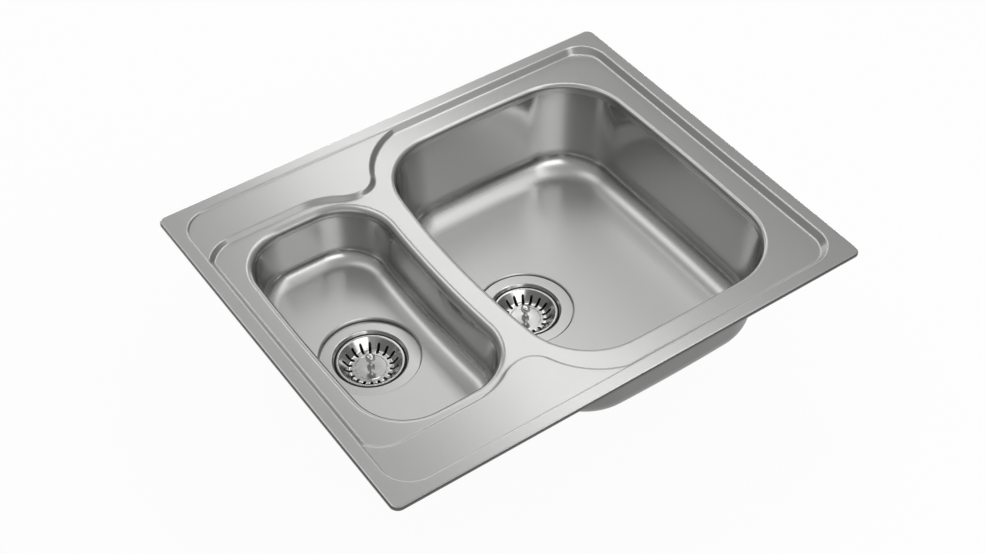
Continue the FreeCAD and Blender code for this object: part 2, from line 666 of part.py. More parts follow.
def sink_deck():
    """The deck: the top face's block, less the block one sheet in and less what hangs below the rim."""
    top_side = deck_side("deck_top", "0", WELD)
    underside = deck_side("deck_under", "sheet_wall", f"({WELD} - weld_drop)")
    apron = new_body("deck_apron")
    strip = new_sketch(apron, "strip")
    for reach in ("weld_drop", "(0 - rim_band / 2)"):
        half_x, half_y = f"(sink_length / 2 + {reach})", f"(sink_depth / 2 + {reach})"
        draw_rounded_rectangle(strip, half_x, half_y, "outer_corner_radius")
    pad(apron, strip, "2 * weld_drop", downward=True)
    sheet = doc.addObject("Part::Cut", "deck_sheet")
    sheet.Base = top_side
    sheet.Tool = underside
    deck = doc.addObject("Part::Cut", "sink_deck")
    deck.Base = sheet
    deck.Tool = apron
    return deck


def recess_outline(floor, seat, skin):
    """Half the section of the flange's recess, a skin outwards, reaching up through the floor."""
    radius = f"({RECESS} + {skin})"
    bevel = f"(recess_bevel + {skin} * tan(22.5))"
    return [
        ("0", f"{seat} - {skin}"),
        (radius, f"{seat} - {skin}"),
        (radius, f"{floor} - {bevel}"),
        (f"{radius} + {bevel} + recess_lift", f"{floor} + recess_lift"),
        ("0", f"{floor} + recess_lift"),
    ]


def bowl_form(label, bowl, floor, seat, drain, skin):
    """The form of a bowl's face, a skin outwards: leaning walls, a rolled floor and the flange's recess."""
    body = new_body(label)
    bottom = f"({floor} - {skin})"
    sections = []
    for name, level in (("weld", WELD), ("floor", bottom)):
        sketch = new_sketch(body, name, height=level)
        draw_bowl_outline(sketch, bowl, wall_inset(level, skin))
        sections.append(sketch)
    loft(body, "Additive", *sections)
    round_edges(body, "roll", f"{bowl}_floor_radius + {skin}", flat_at(bottom))
    recess = new_sketch(body, "recess", "XZ_Plane", across=drain)
    draw_polygon(recess, recess_outline(floor, seat, skin))
    turn(body, recess)
    return body


def drawn_bowl(bowl, floor, seat, drain):
    """A deep-drawn bowl below its weld, with the hole for its waste."""
    outside = bowl_form(f"{bowl}_bowl_outside", bowl, floor, seat, drain, "sheet_wall")
    inside = bowl_form(f"{bowl}_bowl_inside", bowl, floor, seat, drain, "0")
    hole = new_sketch(inside, "hole", height=seat)
    draw_circle(hole, DRAIN_HOLE, drain)
    pad(inside, hole, "2 * sheet_wall", downward=True)
    shell = doc.addObject("Part::Cut", f"{bowl}_bowl")
    shell.Base = outside
    shell.Tool = inside
    return shell


def rim_seal():
    """The foam strip that lies between the rim and the worktop."""
    body = new_body("rim_seal")
    strip = new_sketch(body, "strip")
    for inset in ("seal_inset", "(seal_inset + seal_width)"):
        half_x, half_y = f"(sink_length / 2 - {inset})", f"(sink_depth / 2 - {inset})"
        draw_rounded_rectangle(strip, half_x, half_y, f"(seal_corner_radius + seal_inset - {inset})")
    pad(body, strip, "rim_height - sheet_wall")
    return body


def clip_bracket(index, x, y, level, angle):
    """One strap with a raised loop, its feet against the deck's underside."""
    body = new_body(f"clip_bracket_{index}")
    strap = new_sketch(body, "strap", "XZ_Plane")
    end, loop, deep, wall = "bracket_length / 2", "bracket_loop / 2", "bracket_rise", "bracket_wall"
    right = [
        (loop, f"0 - {deep}"),
        (loop, "0"),
        (end, "0"),
        (end, f"0 - {wall}"),
        (f"{loop} + {wall}", f"0 - {wall}"),
        (f"{loop} + {wall}", f"0 - {deep} - {wall}"),
    ]
    left = [(f"0 - ({across})", height) for across, height in reversed(right)]
    draw_polygon(strap, right + left)
    feature = pad(body, strap, "bracket_width")
    feature.Midplane = True
    body.Placement = FreeCAD.Placement(FreeCAD.Vector(), FreeCAD.Rotation(FreeCAD.Vector(0, 0, 1), angle))
    bind(body, Placement__Base__x=x, Placement__Base__y=y, Placement__Base__z=f"{level} - sheet_wall")
    return body


def clip_brackets():
    """The straps round the deck's underside, midway between the step's foot and the bowl lips."""
    step_foot = "rim_band + step_run"
    end_y = f"(sink_depth / 2 - ({step_foot} + margin_main - main_lip_radius) / 2)"
    right_x = f"(sink_length / 2 - ({step_foot} + margin_right - main_lip_radius) / 2)"
    left_x = f"(0 - sink_length / 2 + ({step_foot} + margin_left - half_lip_radius) / 2)"
    main_x, half_x = f"({MAIN_LEFT} + {MAIN_RIGHT}) / 2", f"({HALF_LEFT} + {HALF_RIGHT}) / 2"
    places = []
    for sign in (1, -1):
        places += [
            (f"{main_x} + bracket_spacing / 2", f"{sign} * {end_y}", FIELD, 0),
            (f"{main_x} - bracket_spacing / 2", f"{sign} * {end_y}", FIELD, 0),
            (half_x, f"{sign} * {end_y}", LEDGE, 0),
            (right_x, f"{sign} * bracket_spacing / 2", FIELD, 90),
            (left_x, f"{sign} * bracket_spacing / 2", FIELD, 90),
        ]
    group = doc.addObject("Part::Compound", "clip_brackets")
    group.Links = [clip_bracket(index, *place) for index, place in enumerate(places, start=1)]
    return group


def sound_pad():
    """The damping pad stuck under the main bowl's floor, beside the drain."""
    body = new_body("main_sound_pad")
    sketch = new_sketch(body, "outline", height=f"{MAIN_FLOOR} - sheet_wall")
    middle = f"({MAIN_DRAIN} + {RECESS} + sheet_wall + pad_gap + pad_length / 2)"
    draw_rounded_rectangle(sketch, "(pad_length / 2)", "(pad_depth / 2)", "pad_corner_radius", middle)
    pad(body, sketch, "pad_thickness", downward=True)
    return body


# The basket waste, drawn about its own axis with the flange's seat in the bowl at level 0
FLANGE_TOP = "(gasket_thickness + cup_wall)"
SEAL_SEAT = f"({FLANGE_TOP} - throat_depth)"
CUP_BOTTOM = f"({FLANGE_TOP} - cup_depth)"
CUP = "(throat_radius - seat_width)"
CUP_OUTSIDE = f"({CUP} + cup_wall)"
THROAT_OUTSIDE = "(throat_radius + cup_wall)"
BASKET_RIM = f"({SEAL_SEAT} + seal_height + cup_wall)"
BASKET_RADIUS = "(throat_radius - seal_clearance - seal_overhang)"
BASKET_MOUTH = f"({BASKET_RADIUS} - basket_rim_width)"
DISC = f"({BASKET_RIM} - basket_depth)"
DISC_UNDER = f"({DISC} - cup_wall)"
BASKET_LEAN = f"atan(basket_depth / ({BASKET_MOUTH} - basket_disc_radius))"
BASKET_SHIFT = f"(cup_wall * tan({BASKET_LEAN} / 2))"
STUD_HOLE = "(stud_radius + stud_clearance)"
SCREW_HOLE = "(screw_radius + screw_clearance)"
BOSS_TOP = f"({CUP_BOTTOM} - cup_wall)"
BOSS_FOOT = f"({BOSS_TOP} - boss_height)"
CHAMBER = f"({THROAT_OUTSIDE} + body_gap)"
CHAMBER_OUTSIDE = f"({CHAMBER} + body_wall)"
BODY_FLANGE = f"({CHAMBER_OUTSIDE} + body_flange_width)"
BODY_TOP = "(0 - sheet_wall - body_gasket_thickness)"
CHAMBER_FOOT = f"({BODY_TOP} - body_depth)"
OUTLET_TOP = f"({CHAMBER_FOOT} - body_cone)"
OUTLET_FOOT = f"({OUTLET_TOP} - outlet_length)"


def turned(label, points):
    """A piece turned from half its section."""
    body = new_body(label)
    sketch = new_sketch(body, "section", "XZ_Plane")
    draw_polygon(sketch, points)
    turn(body, sketch)
    return body


def ring(label, inner, outer, foot, top):
    """A flat ring."""
    return turned(label, [(inner, foot), (outer, foot), (outer, top), (inner, top)])


def strainer_cup(label):
    """The flange with its rolled throat, the ledge for the basket's seal and the holed bottom."""
    throat, seat_under = f"({FLANGE_TOP} - throat_roll)", f"({SEAL_SEAT} - cup_wall)"
    mouth_under = f"({MOUTH} + cup_wall * tan(atan(throat_roll / throat_run) / 2))"
    throat_under = f"({throat} - cup_wall * tan(atan(throat_run / throat_roll) / 2))"
    body = turned(label, [
        (FLANGE, FLANGE_TOP),
        (MOUTH, FLANGE_TOP),
        ("throat_radius", throat),
        ("throat_radius", SEAL_SEAT),
        (CUP, SEAL_SEAT),
        (CUP, CUP_BOTTOM),
        (SCREW_HOLE, CUP_BOTTOM),
        (SCREW_HOLE, BOSS_TOP),
        (CUP_OUTSIDE, BOSS_TOP),
        (CUP_OUTSIDE, seat_under),
        (THROAT_OUTSIDE, seat_under),
        (THROAT_OUTSIDE, throat_under),
        (mouth_under, "gasket_thickness"),
        (FLANGE, "gasket_thickness"),
    ])
    round_edges(body, "mouth_roll", "mouth_radius", ring_at(MOUTH, FLANGE_TOP))
    under_ring = ring_at(mouth_under, "gasket_thickness")
    round_edges(body, "mouth_under_roll", "mouth_radius + cup_wall", under_ring)
    hole = new_sketch(body, "hole", height=CUP_BOTTOM)
    draw_circle(hole, "cup_hole_radius", "cup_hole_circle")
    repeat_round(body, pocket(body, hole, "2 * cup_wall"), "cup_hole_count")
    return body


def draw_slot(sketch, start, end, width):
    """Draw a slot with round ends along the X axis."""
    half = num(width) / 2
    ends = [vector(num(start), 0), vector(num(end), 0)]
    up = vector(0, half)
    inner = draw_arc(sketch, ends[0], half, ends[0] + up, ends[0] - up, True)
    lower = draw_line(sketch, ends[0] - up, ends[1] - up)
    outer = draw_arc(sketch, ends[1], half, ends[1] - up, ends[1] + up, True)
    upper = draw_line(sketch, ends[1] + up, ends[0] + up)
    pieces = [inner, lower, outer, upper]
    for before, after in zip(pieces, pieces[1:] + pieces[:1]):
        join(sketch, before, after, True)
    pin_point(sketch, inner[0], CENTRE, start, "0")
    pin_point(sketch, outer[0], CENTRE, end, "0")
    tie(sketch, "Radius", inner[0], to=f"{width} / 2")
    sketch.addConstraint(Sketcher.Constraint("Equal", inner[0], outer[0]))


def basket(label):
    """The pressed basket: a flat rim, a slotted cone and a flat disc with a hole for the stud."""
    body = turned(label, [
        (BASKET_RADIUS, BASKET_RIM),
        (BASKET_MOUTH, BASKET_RIM),
        ("basket_disc_radius", DISC),
        (STUD_HOLE, DISC),
        (STUD_HOLE, DISC_UNDER),
        (f"basket_disc_radius + {BASKET_SHIFT}", DISC_UNDER),
        (f"{BASKET_MOUTH} + {BASKET_SHIFT}", f"{BASKET_RIM} - cup_wall"),
        (BASKET_RADIUS, f"{BASKET_RIM} - cup_wall"),
    ])
    slot = new_sketch(body, "slot", height=BASKET_RIM)
    start = "basket_disc_radius + slot_inner_gap + slot_width / 2"
    end = f"{BASKET_MOUTH} - slot_outer_gap - slot_width / 2"
    draw_slot(slot, start, end, "slot_width")
    repeat_round(body, pocket(body, slot, "basket_depth + 2 * cup_wall"), "slot_count")
    return body


def basket_knob(label):
    """The spool-shaped pull knob with its stud."""
    top = f"({DISC} + knob_height)"
    head_foot = f"({top} - knob_head_height)"
    body = turned(label, [
        ("0", top),
        ("knob_head_radius", top),
        ("knob_head_radius", head_foot),
        ("knob_waist_radius", f"{head_foot} - knob_neck_height"),
        ("knob_waist_radius", f"{DISC} + knob_foot_height + knob_neck_height"),
        ("knob_foot_radius", f"{DISC} + knob_foot_height"),
        ("knob_foot_radius", DISC),
        ("stud_radius", DISC),
        ("stud_radius", f"{DISC_UNDER} - stud_length"),
        ("0", f"{DISC_UNDER} - stud_length"),
    ])
    round_edges(body, "crown", "knob_crown_radius", ring_at("knob_head_radius", top))
    round_edges(body, "head_roll", "knob_roll_radius", ring_at("knob_head_radius", head_foot))
    return body


def basket_stem(label):
    """The stem under the basket, with a collar and a blind hole for the knob's stud."""
    collar_foot = f"({DISC_UNDER} - stem_collar_height)"
    tip = f"({CUP_BOTTOM} + head_height - socket_depth + stem_clearance)"
    hole_end = f"({DISC_UNDER} - stud_length - stud_clearance)"
    return turned(label, [
        (STUD_HOLE, DISC_UNDER),
        ("stem_collar_radius", DISC_UNDER),
        ("stem_collar_radius", collar_foot),
        ("stem_radius", collar_foot),
        ("stem_radius", tip),
        ("0", tip),
        ("0", hole_end),
        (STUD_HOLE, hole_end),
    ])


def clamp_screw(label):
    """The centre screw, whose socket head stands in the cup and takes the basket's stem."""
    head_top = f"({CUP_BOTTOM} + head_height)"
    socket, socket_foot = "(stem_radius + stem_clearance)", f"({head_top} - socket_depth)"
    end = f"({BOSS_FOOT} - nut_height - screw_overrun)"
    return turned(label, [
        ("0", socket_foot),
        (socket, socket_foot),
        (socket, head_top),
        ("head_radius", head_top),
        ("head_radius", CUP_BOTTOM),
        ("screw_radius", CUP_BOTTOM),
        ("screw_radius", end),
        ("0", end),
    ])


def clamp_nut(label):
    """The hexagon nut under the waste body's boss."""
    body = new_body(label)
    hexagon = new_sketch(body, "hexagon", height=BOSS_FOOT)
    flat, corner = "nut_flats / 2", "nut_flats / sqrt(3)"
    right = [(flat, f"0 - {corner} / 2"), (flat, f"{corner} / 2")]
    left = [(f"0 - {flat}", f"{corner} / 2"), (f"0 - {flat}", f"0 - {corner} / 2")]
    draw_polygon(hexagon, right + [("0", corner)] + left + [("0", f"0 - {corner}")])
    draw_circle(hexagon, "screw_radius + stud_clearance")
    pad(body, hexagon, "nut_height", downward=True)
    return body


def waste_body(label):
    """The moulded body: a flanged chamber, a taper to the threaded outlet and a boss held by ribs."""
    bore = "(outlet_radius - outlet_wall)"
    flange_foot = f"({BODY_TOP} - body_flange_height)"
    body = turned(label, [
        (CHAMBER, BODY_TOP),
        (BODY_FLANGE, BODY_TOP),
        (BODY_FLANGE, flange_foot),
        (CHAMBER_OUTSIDE, flange_foot),
        (CHAMBER_OUTSIDE, CHAMBER_FOOT),
        ("outlet_radius", OUTLET_TOP),
        ("outlet_radius", OUTLET_FOOT),
        (bore, OUTLET_FOOT),
        (bore, OUTLET_TOP),
        (CHAMBER, CHAMBER_FOOT),
    ])
    rib = new_sketch(body, "rib", height=CHAMBER_FOOT)
    start, end, half = "screw_radius + rib_wall", f"{CHAMBER} + body_wall / 2", "rib_wall / 2"
    draw_polygon(rib, [(start, f"0 - {half}"), (end, f"0 - {half}"), (end, half), (start, half)])
    repeat_round(body, pad(body, rib, "rib_height"), "rib_count")
    boss = new_sketch(body, "boss", height=BOSS_TOP)
    draw_circle(boss, "boss_radius")
    pad(body, boss, "boss_height", downward=True)
    hole = new_sketch(body, "screw_hole", height=BOSS_TOP)
    draw_circle(hole, SCREW_HOLE)
    pocket(body, hole, "boss_height")
    return body


def basket_waste(bowl, drain, seat):
    """All pieces of one bowl's waste, standing on its drain."""
    gasket_edge = f"({FLANGE} - flange_clearance)"
    gasket_inner = f"({gasket_edge} - gasket_width)"
    body_inner, body_edge = f"({DRAIN_HOLE} + flange_clearance)", f"({BODY_FLANGE} - flange_clearance)"
    seal_inner, seal_edge = f"({BASKET_MOUTH} + cup_wall)", "(throat_radius - seal_clearance)"
    pieces = [
        ring(f"{bowl}_flange_gasket", gasket_inner, gasket_edge, "0", "gasket_thickness"),
        strainer_cup(f"{bowl}_strainer_cup"),
        ring(f"{bowl}_body_gasket", body_inner, body_edge, BODY_TOP, "0 - sheet_wall"),
        waste_body(f"{bowl}_waste_body"),
        clamp_screw(f"{bowl}_clamp_screw"),
        clamp_nut(f"{bowl}_clamp_nut"),
        basket(f"{bowl}_basket"),
        ring(f"{bowl}_basket_seal", seal_inner, seal_edge, SEAL_SEAT, f"{BASKET_RIM} - cup_wall"),
        basket_knob(f"{bowl}_basket_knob"),
        basket_stem(f"{bowl}_basket_stem"),
    ]
    for piece in pieces:
        bind(piece, Placement__Base__x=drain, Placement__Base__z=seat)
    return pieces


pieces = [
    sink_deck(),
    drawn_bowl("main", MAIN_FLOOR, MAIN_SEAT, MAIN_DRAIN),
    drawn_bowl("half", HALF_FLOOR, HALF_SEAT, HALF_DRAIN),
    rim_seal(),
    clip_brackets(),
    sound_pad(),
]
pieces += basket_waste("main", MAIN_DRAIN, MAIN_SEAT)
pieces += basket_waste("half", HALF_DRAIN, HALF_SEAT)
doc.recompute()

failed = [item.Name for item in doc.Objects if {"Invalid", "Error"} & set(item.State)]
bad = [piece.Label for piece in pieces if piece.Shape.isNull() or not piece.Shape.isValid()]
if failed or bad:
    raise RuntimeError(f"failed objects {failed}, bad shapes {bad}")

os.makedirs("parts", exist_ok=True)
for piece in pieces:
    piece.Shape.exportStep(f"parts/{piece.Label}.step")
    print(f"{piece.Label}: {len(piece.Shape.Solids)} solid, {piece.Shape.Volume:.0f} mm3")
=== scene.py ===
# %% [markdown]
# # A one and a half bowl kitchen sink
# An inset sink is pressed from thin stainless steel. A deck with a raised rim carries two deep-drawn
# bowls, and each bowl has a basket waste in its drain. This lesson loads the sink's construction model
# as a fixed frame, draws the visible sheet metal again as smooth surfaces worked out with arrays, gives
# every piece its real finish, and sets up a plain studio. All lengths in the code are millimetres until
# a mesh is made, and Blender gets metres.

import math

import bmesh
import bpy
import numpy as np
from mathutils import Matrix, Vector
from mathutils.geometry import delaunay_2d_cdt


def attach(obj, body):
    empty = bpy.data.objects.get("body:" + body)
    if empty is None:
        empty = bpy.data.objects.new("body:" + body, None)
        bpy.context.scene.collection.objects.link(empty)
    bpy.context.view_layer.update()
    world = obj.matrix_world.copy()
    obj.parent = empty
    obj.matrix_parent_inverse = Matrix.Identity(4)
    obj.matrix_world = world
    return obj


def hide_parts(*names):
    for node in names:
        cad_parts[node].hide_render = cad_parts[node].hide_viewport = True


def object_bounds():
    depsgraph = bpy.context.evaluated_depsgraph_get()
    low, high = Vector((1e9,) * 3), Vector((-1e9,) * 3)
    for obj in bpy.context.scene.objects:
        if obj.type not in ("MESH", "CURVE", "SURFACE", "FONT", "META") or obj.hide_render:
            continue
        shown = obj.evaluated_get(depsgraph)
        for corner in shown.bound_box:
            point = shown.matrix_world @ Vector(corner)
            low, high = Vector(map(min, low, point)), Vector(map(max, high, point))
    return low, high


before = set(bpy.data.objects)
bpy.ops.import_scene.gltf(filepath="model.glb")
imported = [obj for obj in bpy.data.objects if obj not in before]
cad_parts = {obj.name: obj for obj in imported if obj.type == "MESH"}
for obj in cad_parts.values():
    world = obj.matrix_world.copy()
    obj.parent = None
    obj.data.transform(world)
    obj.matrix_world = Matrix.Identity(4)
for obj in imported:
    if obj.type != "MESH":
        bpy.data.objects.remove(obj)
cad_box = [list(corner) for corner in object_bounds()]
print("pieces in the frame:", len(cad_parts), "box in metres:", cad_box)

# %% [markdown]
# ## The camera
# The view was solved from the rim's four corners in the photograph, taking the rim as a rectangle of
# 620 by 500 mm. The camera looks down at about 45 degrees, from the front left corner. Its distance and
# lens go together: a shorter lens nearer by would make the near corner loom larger than it does.

# %% Camera
MM = 0.001
AZIMUTH, ELEVATION = math.radians(-35.178), math.radians(45.562)
CAMERA_DISTANCE = 1806.86
CAMERA_TARGET = np.array([-50.42, -45.04, 4.0])
IMAGE_WIDTH, FOCAL_PIXELS, SENSOR_WIDTH = 985, 1644.7, 36.0


def new_object(name, data):
    """An object for a camera, mesh or lamp, put into the scene."""
    made = bpy.data.objects.new(name, data)
    bpy.context.scene.collection.objects.link(made)
    return made


towards_camera = np.array([
    math.sin(AZIMUTH) * math.cos(ELEVATION),
    -math.cos(AZIMUTH) * math.cos(ELEVATION),
    math.sin(ELEVATION),
])
camera = new_object("studio_camera", bpy.data.cameras.new("studio_camera"))
camera.data.sensor_width = SENSOR_WIDTH
camera.data.lens = FOCAL_PIXELS / IMAGE_WIDTH * SENSOR_WIDTH
camera.location = (CAMERA_TARGET + towards_camera * CAMERA_DISTANCE) * MM
camera.rotation_euler = Vector(towards_camera).to_track_quat("Z", "Y").to_euler()
bpy.context.scene.camera = camera
print("lens in mm:", round(camera.data.lens, 2), "place:", [round(v, 3) for v in camera.location])

# %% [markdown]
# ## Putting arrays into meshes
# One helper joins rows of points into a skin of quads, and one puts several skins together. The last
# makes the piece: it merges points that coincide, joins flat pairs of triangles, and shades the mesh
# smooth except at sharp edges. A weighted-normal modifier lets big flat faces keep their own direction,
# so a flat sheet beside a tight roll stays flat in its reflections.

# %% Skins
def grid_faces(rows, columns):
    """Quads between each row of points and the next, closed round the columns."""
    here = np.arange(rows * columns).reshape(rows, columns)
    beside = np.roll(here, -1, axis=1)
    return np.stack([here[:-1], beside[:-1], beside[1:], here[1:]], axis=-1).reshape(-1, 4)


def joined(*skins):
    """Skins or lines, each with its points and the faces or edges between them, as two lists for all."""
    starts = np.cumsum([0] + [len(points) for points, faces in skins[:-1]])
    points = np.concatenate([points for points, faces in skins])
    faces = [face for (_, faces), start in zip(skins, starts) for face in (faces + start).tolist()]
    return points, faces


print("two rows of three points give", len(grid_faces(2, 3)), "quads")

# %% Pieces
CREASE = math.radians(32)
SAME_POINT = 1e-6
QUAD_BEND, QUAD_SKEW = math.radians(2), math.radians(40)
AREA_WEIGHT = 100


def clean(mesh):
    """Merge points that coincide, drop faces with no area, and join flat pairs of triangles to quads."""
    edited = bmesh.new()
    edited.from_mesh(mesh)
    bmesh.ops.remove_doubles(edited, verts=edited.verts, dist=SAME_POINT)
    bmesh.ops.dissolve_degenerate(edited, edges=edited.edges, dist=SAME_POINT)
    bmesh.ops.join_triangles(
        edited, faces=edited.faces, angle_face_threshold=QUAD_BEND, angle_shape_threshold=QUAD_SKEW
    )
    edited.to_mesh(mesh)
    edited.free()


def make_piece(name, points, faces, body, nodes, slot, sheet):
    """A named piece from points in mm, riding on a body in place of CAD nodes. A sheet gets its wall."""
    mesh = bpy.data.meshes.new(name)
    mesh.from_pydata((points * MM).tolist(), [], faces)
    clean(mesh)
    mesh.shade_smooth()
    mesh.set_sharp_from_angle(angle=CREASE)
    piece = new_object(name, mesh)
    if sheet:
        wall = piece.modifiers.new("sheet", "SOLIDIFY")
        wall.thickness = sheet * MM
        wall.offset = -1.0
        wall.use_even_offset = True
    normals = piece.modifiers.new("normals", "WEIGHTED_NORMAL")
    normals.keep_sharp = True
    normals.weight = AREA_WEIGHT
    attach(piece, body)
    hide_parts(*nodes)
    print(name, "has", len(mesh.vertices), "points and", len(mesh.polygons), "faces")
    return piece


print("edges bent by more than", round(math.degrees(CREASE)), "degrees stay sharp")

# %% [markdown]
# ## Lines the press follows
# Every feature of the sink follows a line in plan. The rim and the step follow rectangles with round
# corners. A bowl's mouth is made of four slightly bowed sides joined by tangent arcs. For each line we
# keep its points and the direction that points outwards, so a section can be carried along it: moving
# every point along its own outward direction gives the next line of the section.

# %% Sizes of the pressing
SHEET = 0.8
RIM_TOP, FIELD, LEDGE, WELD = 4.0, -4.0, 1.8, -16.0
RIM_HALF = np.array([310.0, 250.0])
RIM_CORNER, RIM_BAND, RIM_ROLL = 10.0, 16.5, 2.5
STEP_CORNER, STEP_RUN, STEP_ROLL = 36.0, 6.5, 3.0
DRAFT = math.radians(2.5)
# Walls are a mouth's right, back and left. Bows are the radii of its sides, below 0 for a waisted one.
BOWLS = {
    "main": {
        "walls": (257.0, 200.2, -64.8), "bows": (4000, 2500, 1040, 2500), "corner": 82.0, "lip": 5.5,
        "floor": -133.5, "roll": 32.0, "recess": 4.0, "drain": np.array([29.5, 0.0]),
    },
    "half": {
        "walls": (-98.3, 160.0, -262.8), "bows": (-1400, 1500, 3000, 1500), "corner": 60.0, "lip": 9.0,
        "floor": -79.0, "roll": 20.0, "recess": 7.0, "drain": np.array([-186.0, 0.0]),
    },
}
print("rim of", 2 * RIM_HALF, "mm with bowls:", list(BOWLS))

# %% Arcs and rectangles
RIGHT_ANGLE = math.pi / 2


def angle_of(direction):
    """The angle of a direction in plan."""
    return math.atan2(direction[1], direction[0])


def between(first, second):
    """The signed angle that turns one direction into another."""
    return math.atan2(first[0] * second[1] - first[1] * second[0], first @ second)


def directions_at(angles):
    """Directions of length 1 at angles in plan."""
    return np.stack([np.cos(angles), np.sin(angles)], axis=1)


def arc_line(centre, radius, start, turn, count):
    """Points round a centre from an angle through a turn, without the last, and the ways outwards."""
    outward = directions_at(start + turn * np.arange(count) / count)
    return centre + radius * outward, outward


def rounded_rectangle(half, corner, per_corner=16, per_side=24):
    """A rectangle's outline with round corners, turning left, with its outward directions."""
    points, outward = [], []
    for quarter, signs in enumerate(((1, 1), (-1, 1), (-1, -1), (1, -1))):
        centre = (half - corner) * signs
        bend, facing = arc_line(centre, corner, quarter * RIGHT_ANGLE, RIGHT_ANGLE, per_corner)
        side_angle = (quarter + 1) * RIGHT_ANGLE
        side_out = np.array([math.cos(side_angle), math.sin(side_angle)])
        along = np.array([-side_out[1], side_out[0]])
        length = 2 * abs((half - corner) @ along)
        steps = np.arange(per_side)[:, None] / per_side
        points += [bend, centre + corner * side_out + along * length * steps]
        outward += [facing, np.repeat(side_out[None], per_side, axis=0)]
    return np.concatenate(points), np.concatenate(outward)


print("rim outline has", len(rounded_rectangle(RIM_HALF, RIM_CORNER)[0]), "points")


# %% Mouths of the bowls
def corner_centres(crests, outward, centres, bows, corner):
    """Where each pair of sides, moved in by the corner's radius, cross nearest to their corner.

    Circles of radii a and b, c apart, cross (a^2 - b^2 + c^2) / 2c along the line between their centres.
    """
    knuckles = []
    for side in range(4):
        following = (side + 1) % 4
        reach, next_reach = abs(bows[side] - corner), abs(bows[following] - corner)
        line = centres[following] - centres[side]
        span = np.linalg.norm(line)
        along = (reach ** 2 - next_reach ** 2 + span ** 2) / (2 * span)
        aside = math.sqrt(reach ** 2 - along ** 2)
        foot, normal = centres[side] + line * along / span, np.array([-line[1], line[0]]) / span
        wanted = crests[side] * np.abs(outward[side]) + crests[following] * np.abs(outward[following])
        options = [foot + normal * aside, foot - normal * aside]
        knuckles.append(min(options, key=lambda point: np.linalg.norm(point - wanted)))
    return knuckles


def bowl_line(bowl, per_side=44, per_corner=48):
    """A bowl's wall line on the field: four bowed sides and the arcs that touch each pair of them.

    A side's arc is centred behind it (swelling) or in front of it (waisted, a negative bow).
    """
    right, end, left = bowl["walls"]
    middle, corner = (right + left) / 2, bowl["corner"]
    outward = np.array([[1.0, 0.0], [0.0, 1.0], [-1.0, 0.0], [0.0, -1.0]])
    crests = np.array([[right, 0.0], [middle, end], [left, 0.0], [middle, -end]])
    bows = np.array(bowl["bows"], float)
    centres = crests - outward * bows[:, None]
    knuckles = corner_centres(crests, outward, centres, bows, corner)
    points, directions = [], []
    for side in range(4):
        following = (side + 1) % 4
        first, last = knuckles[side - 1] - centres[side], knuckles[side] - centres[side]
        turn = between(first, last)
        line, facing = arc_line(centres[side], abs(bows[side]), angle_of(first), turn, per_side)
        leave = last * np.sign(bows[side])
        arrive = (knuckles[side] - centres[following]) * np.sign(bows[following])
        turn = between(leave, arrive)
        bend, bend_facing = arc_line(knuckles[side], corner, angle_of(leave), turn, per_corner)
        points += [line, bend]
        directions += [facing * np.sign(bows[side]), bend_facing]
    return np.concatenate(points), np.concatenate(directions)


for name, bowl in BOWLS.items():
    bowl["line"], bowl["outward"] = bowl_line(bowl)
    low, high = bowl["line"].min(axis=0), bowl["line"].max(axis=0)
    print(name, "mouth line has", len(bowl["line"]), "points, box", low.round(1), high.round(1))

# %% [markdown]
# ## The pressed deck
# The deck is one sheet. From its edge inwards it has a folded rim, a step down to the field, two raised
# ledges with S-shaped edges, and two mouths whose lips roll down into the bowls. Each step is a flat, a
# roll, a straight slope, a roll and a flat, so its height depends only on the distance from a line. The
# height at a point is the larger of the step's and the ledge's. Feature lines are sampled in plan and
# triangulated, which keeps points where the sheet bends and few where it is flat. A displaced dense grid
# would need far more points for the same crisp rolls.

# %% Section of a step
SLOPE = math.atan2(RIM_TOP - FIELD, STEP_RUN)
TOUCH = STEP_ROLL * math.tan(SLOPE / 2)


def stepped(distance, top, foot):
    """Height across a step, by the distance past the top corner: flat, roll, slope, roll, flat.

    On a roll the height follows a circle that touches the flat and the slope.
    """
    run = (top - foot) / math.tan(SLOPE)
    bend = TOUCH * math.cos(SLOPE)
    above, below = distance + TOUCH, run + TOUCH - distance
    top_roll = top - STEP_ROLL + np.sqrt(np.maximum(STEP_ROLL ** 2 - above ** 2, 0))
    foot_roll = foot + STEP_ROLL - np.sqrt(np.maximum(STEP_ROLL ** 2 - below ** 2, 0))
    return np.select(
        [distance <= -TOUCH, distance < bend, distance < run - bend, distance < run + TOUCH],
        [top, top_roll, top - distance * math.tan(SLOPE), foot_roll],
        foot,
    )


def step_stations(top, foot, per_roll=7):
    """Distances past the top corner where a step's lines are drawn: evenly by angle round each roll."""
    run = (top - foot) / math.tan(SLOPE)
    reach = STEP_ROLL * np.sin(np.linspace(0, SLOPE, per_roll))
    return np.concatenate([reach - TOUCH, run + TOUCH - reach[::-1]])


def past_rectangle(points, half):
    """How far points lie past a rectangle's border, below 0 inside it."""
    beyond = np.abs(points) - half
    return np.linalg.norm(np.maximum(beyond, 0), axis=1) + np.minimum(beyond.max(axis=1), 0)


def rim_distance(points):
    """How far points lie inside the step's top line, a rectangle with round corners."""
    return STEP_CORNER - past_rectangle(points, RIM_HALF - RIM_BAND - STEP_CORNER)


print("the step slopes at", round(math.degrees(SLOPE), 1), "degrees")

# %% [markdown]
# A ledge's edge is a chain of tangent arcs: a corner at the left, a straight run behind the small bowl,
# an S down to a dip between the bowls, and a wide shoulder up to the rim. The dip's arcs have their
# centres on the ledge and the others on the field, so each shoulder's centre follows from the tangency:
# two circles that touch from outside are as far apart as the sum of their radii.

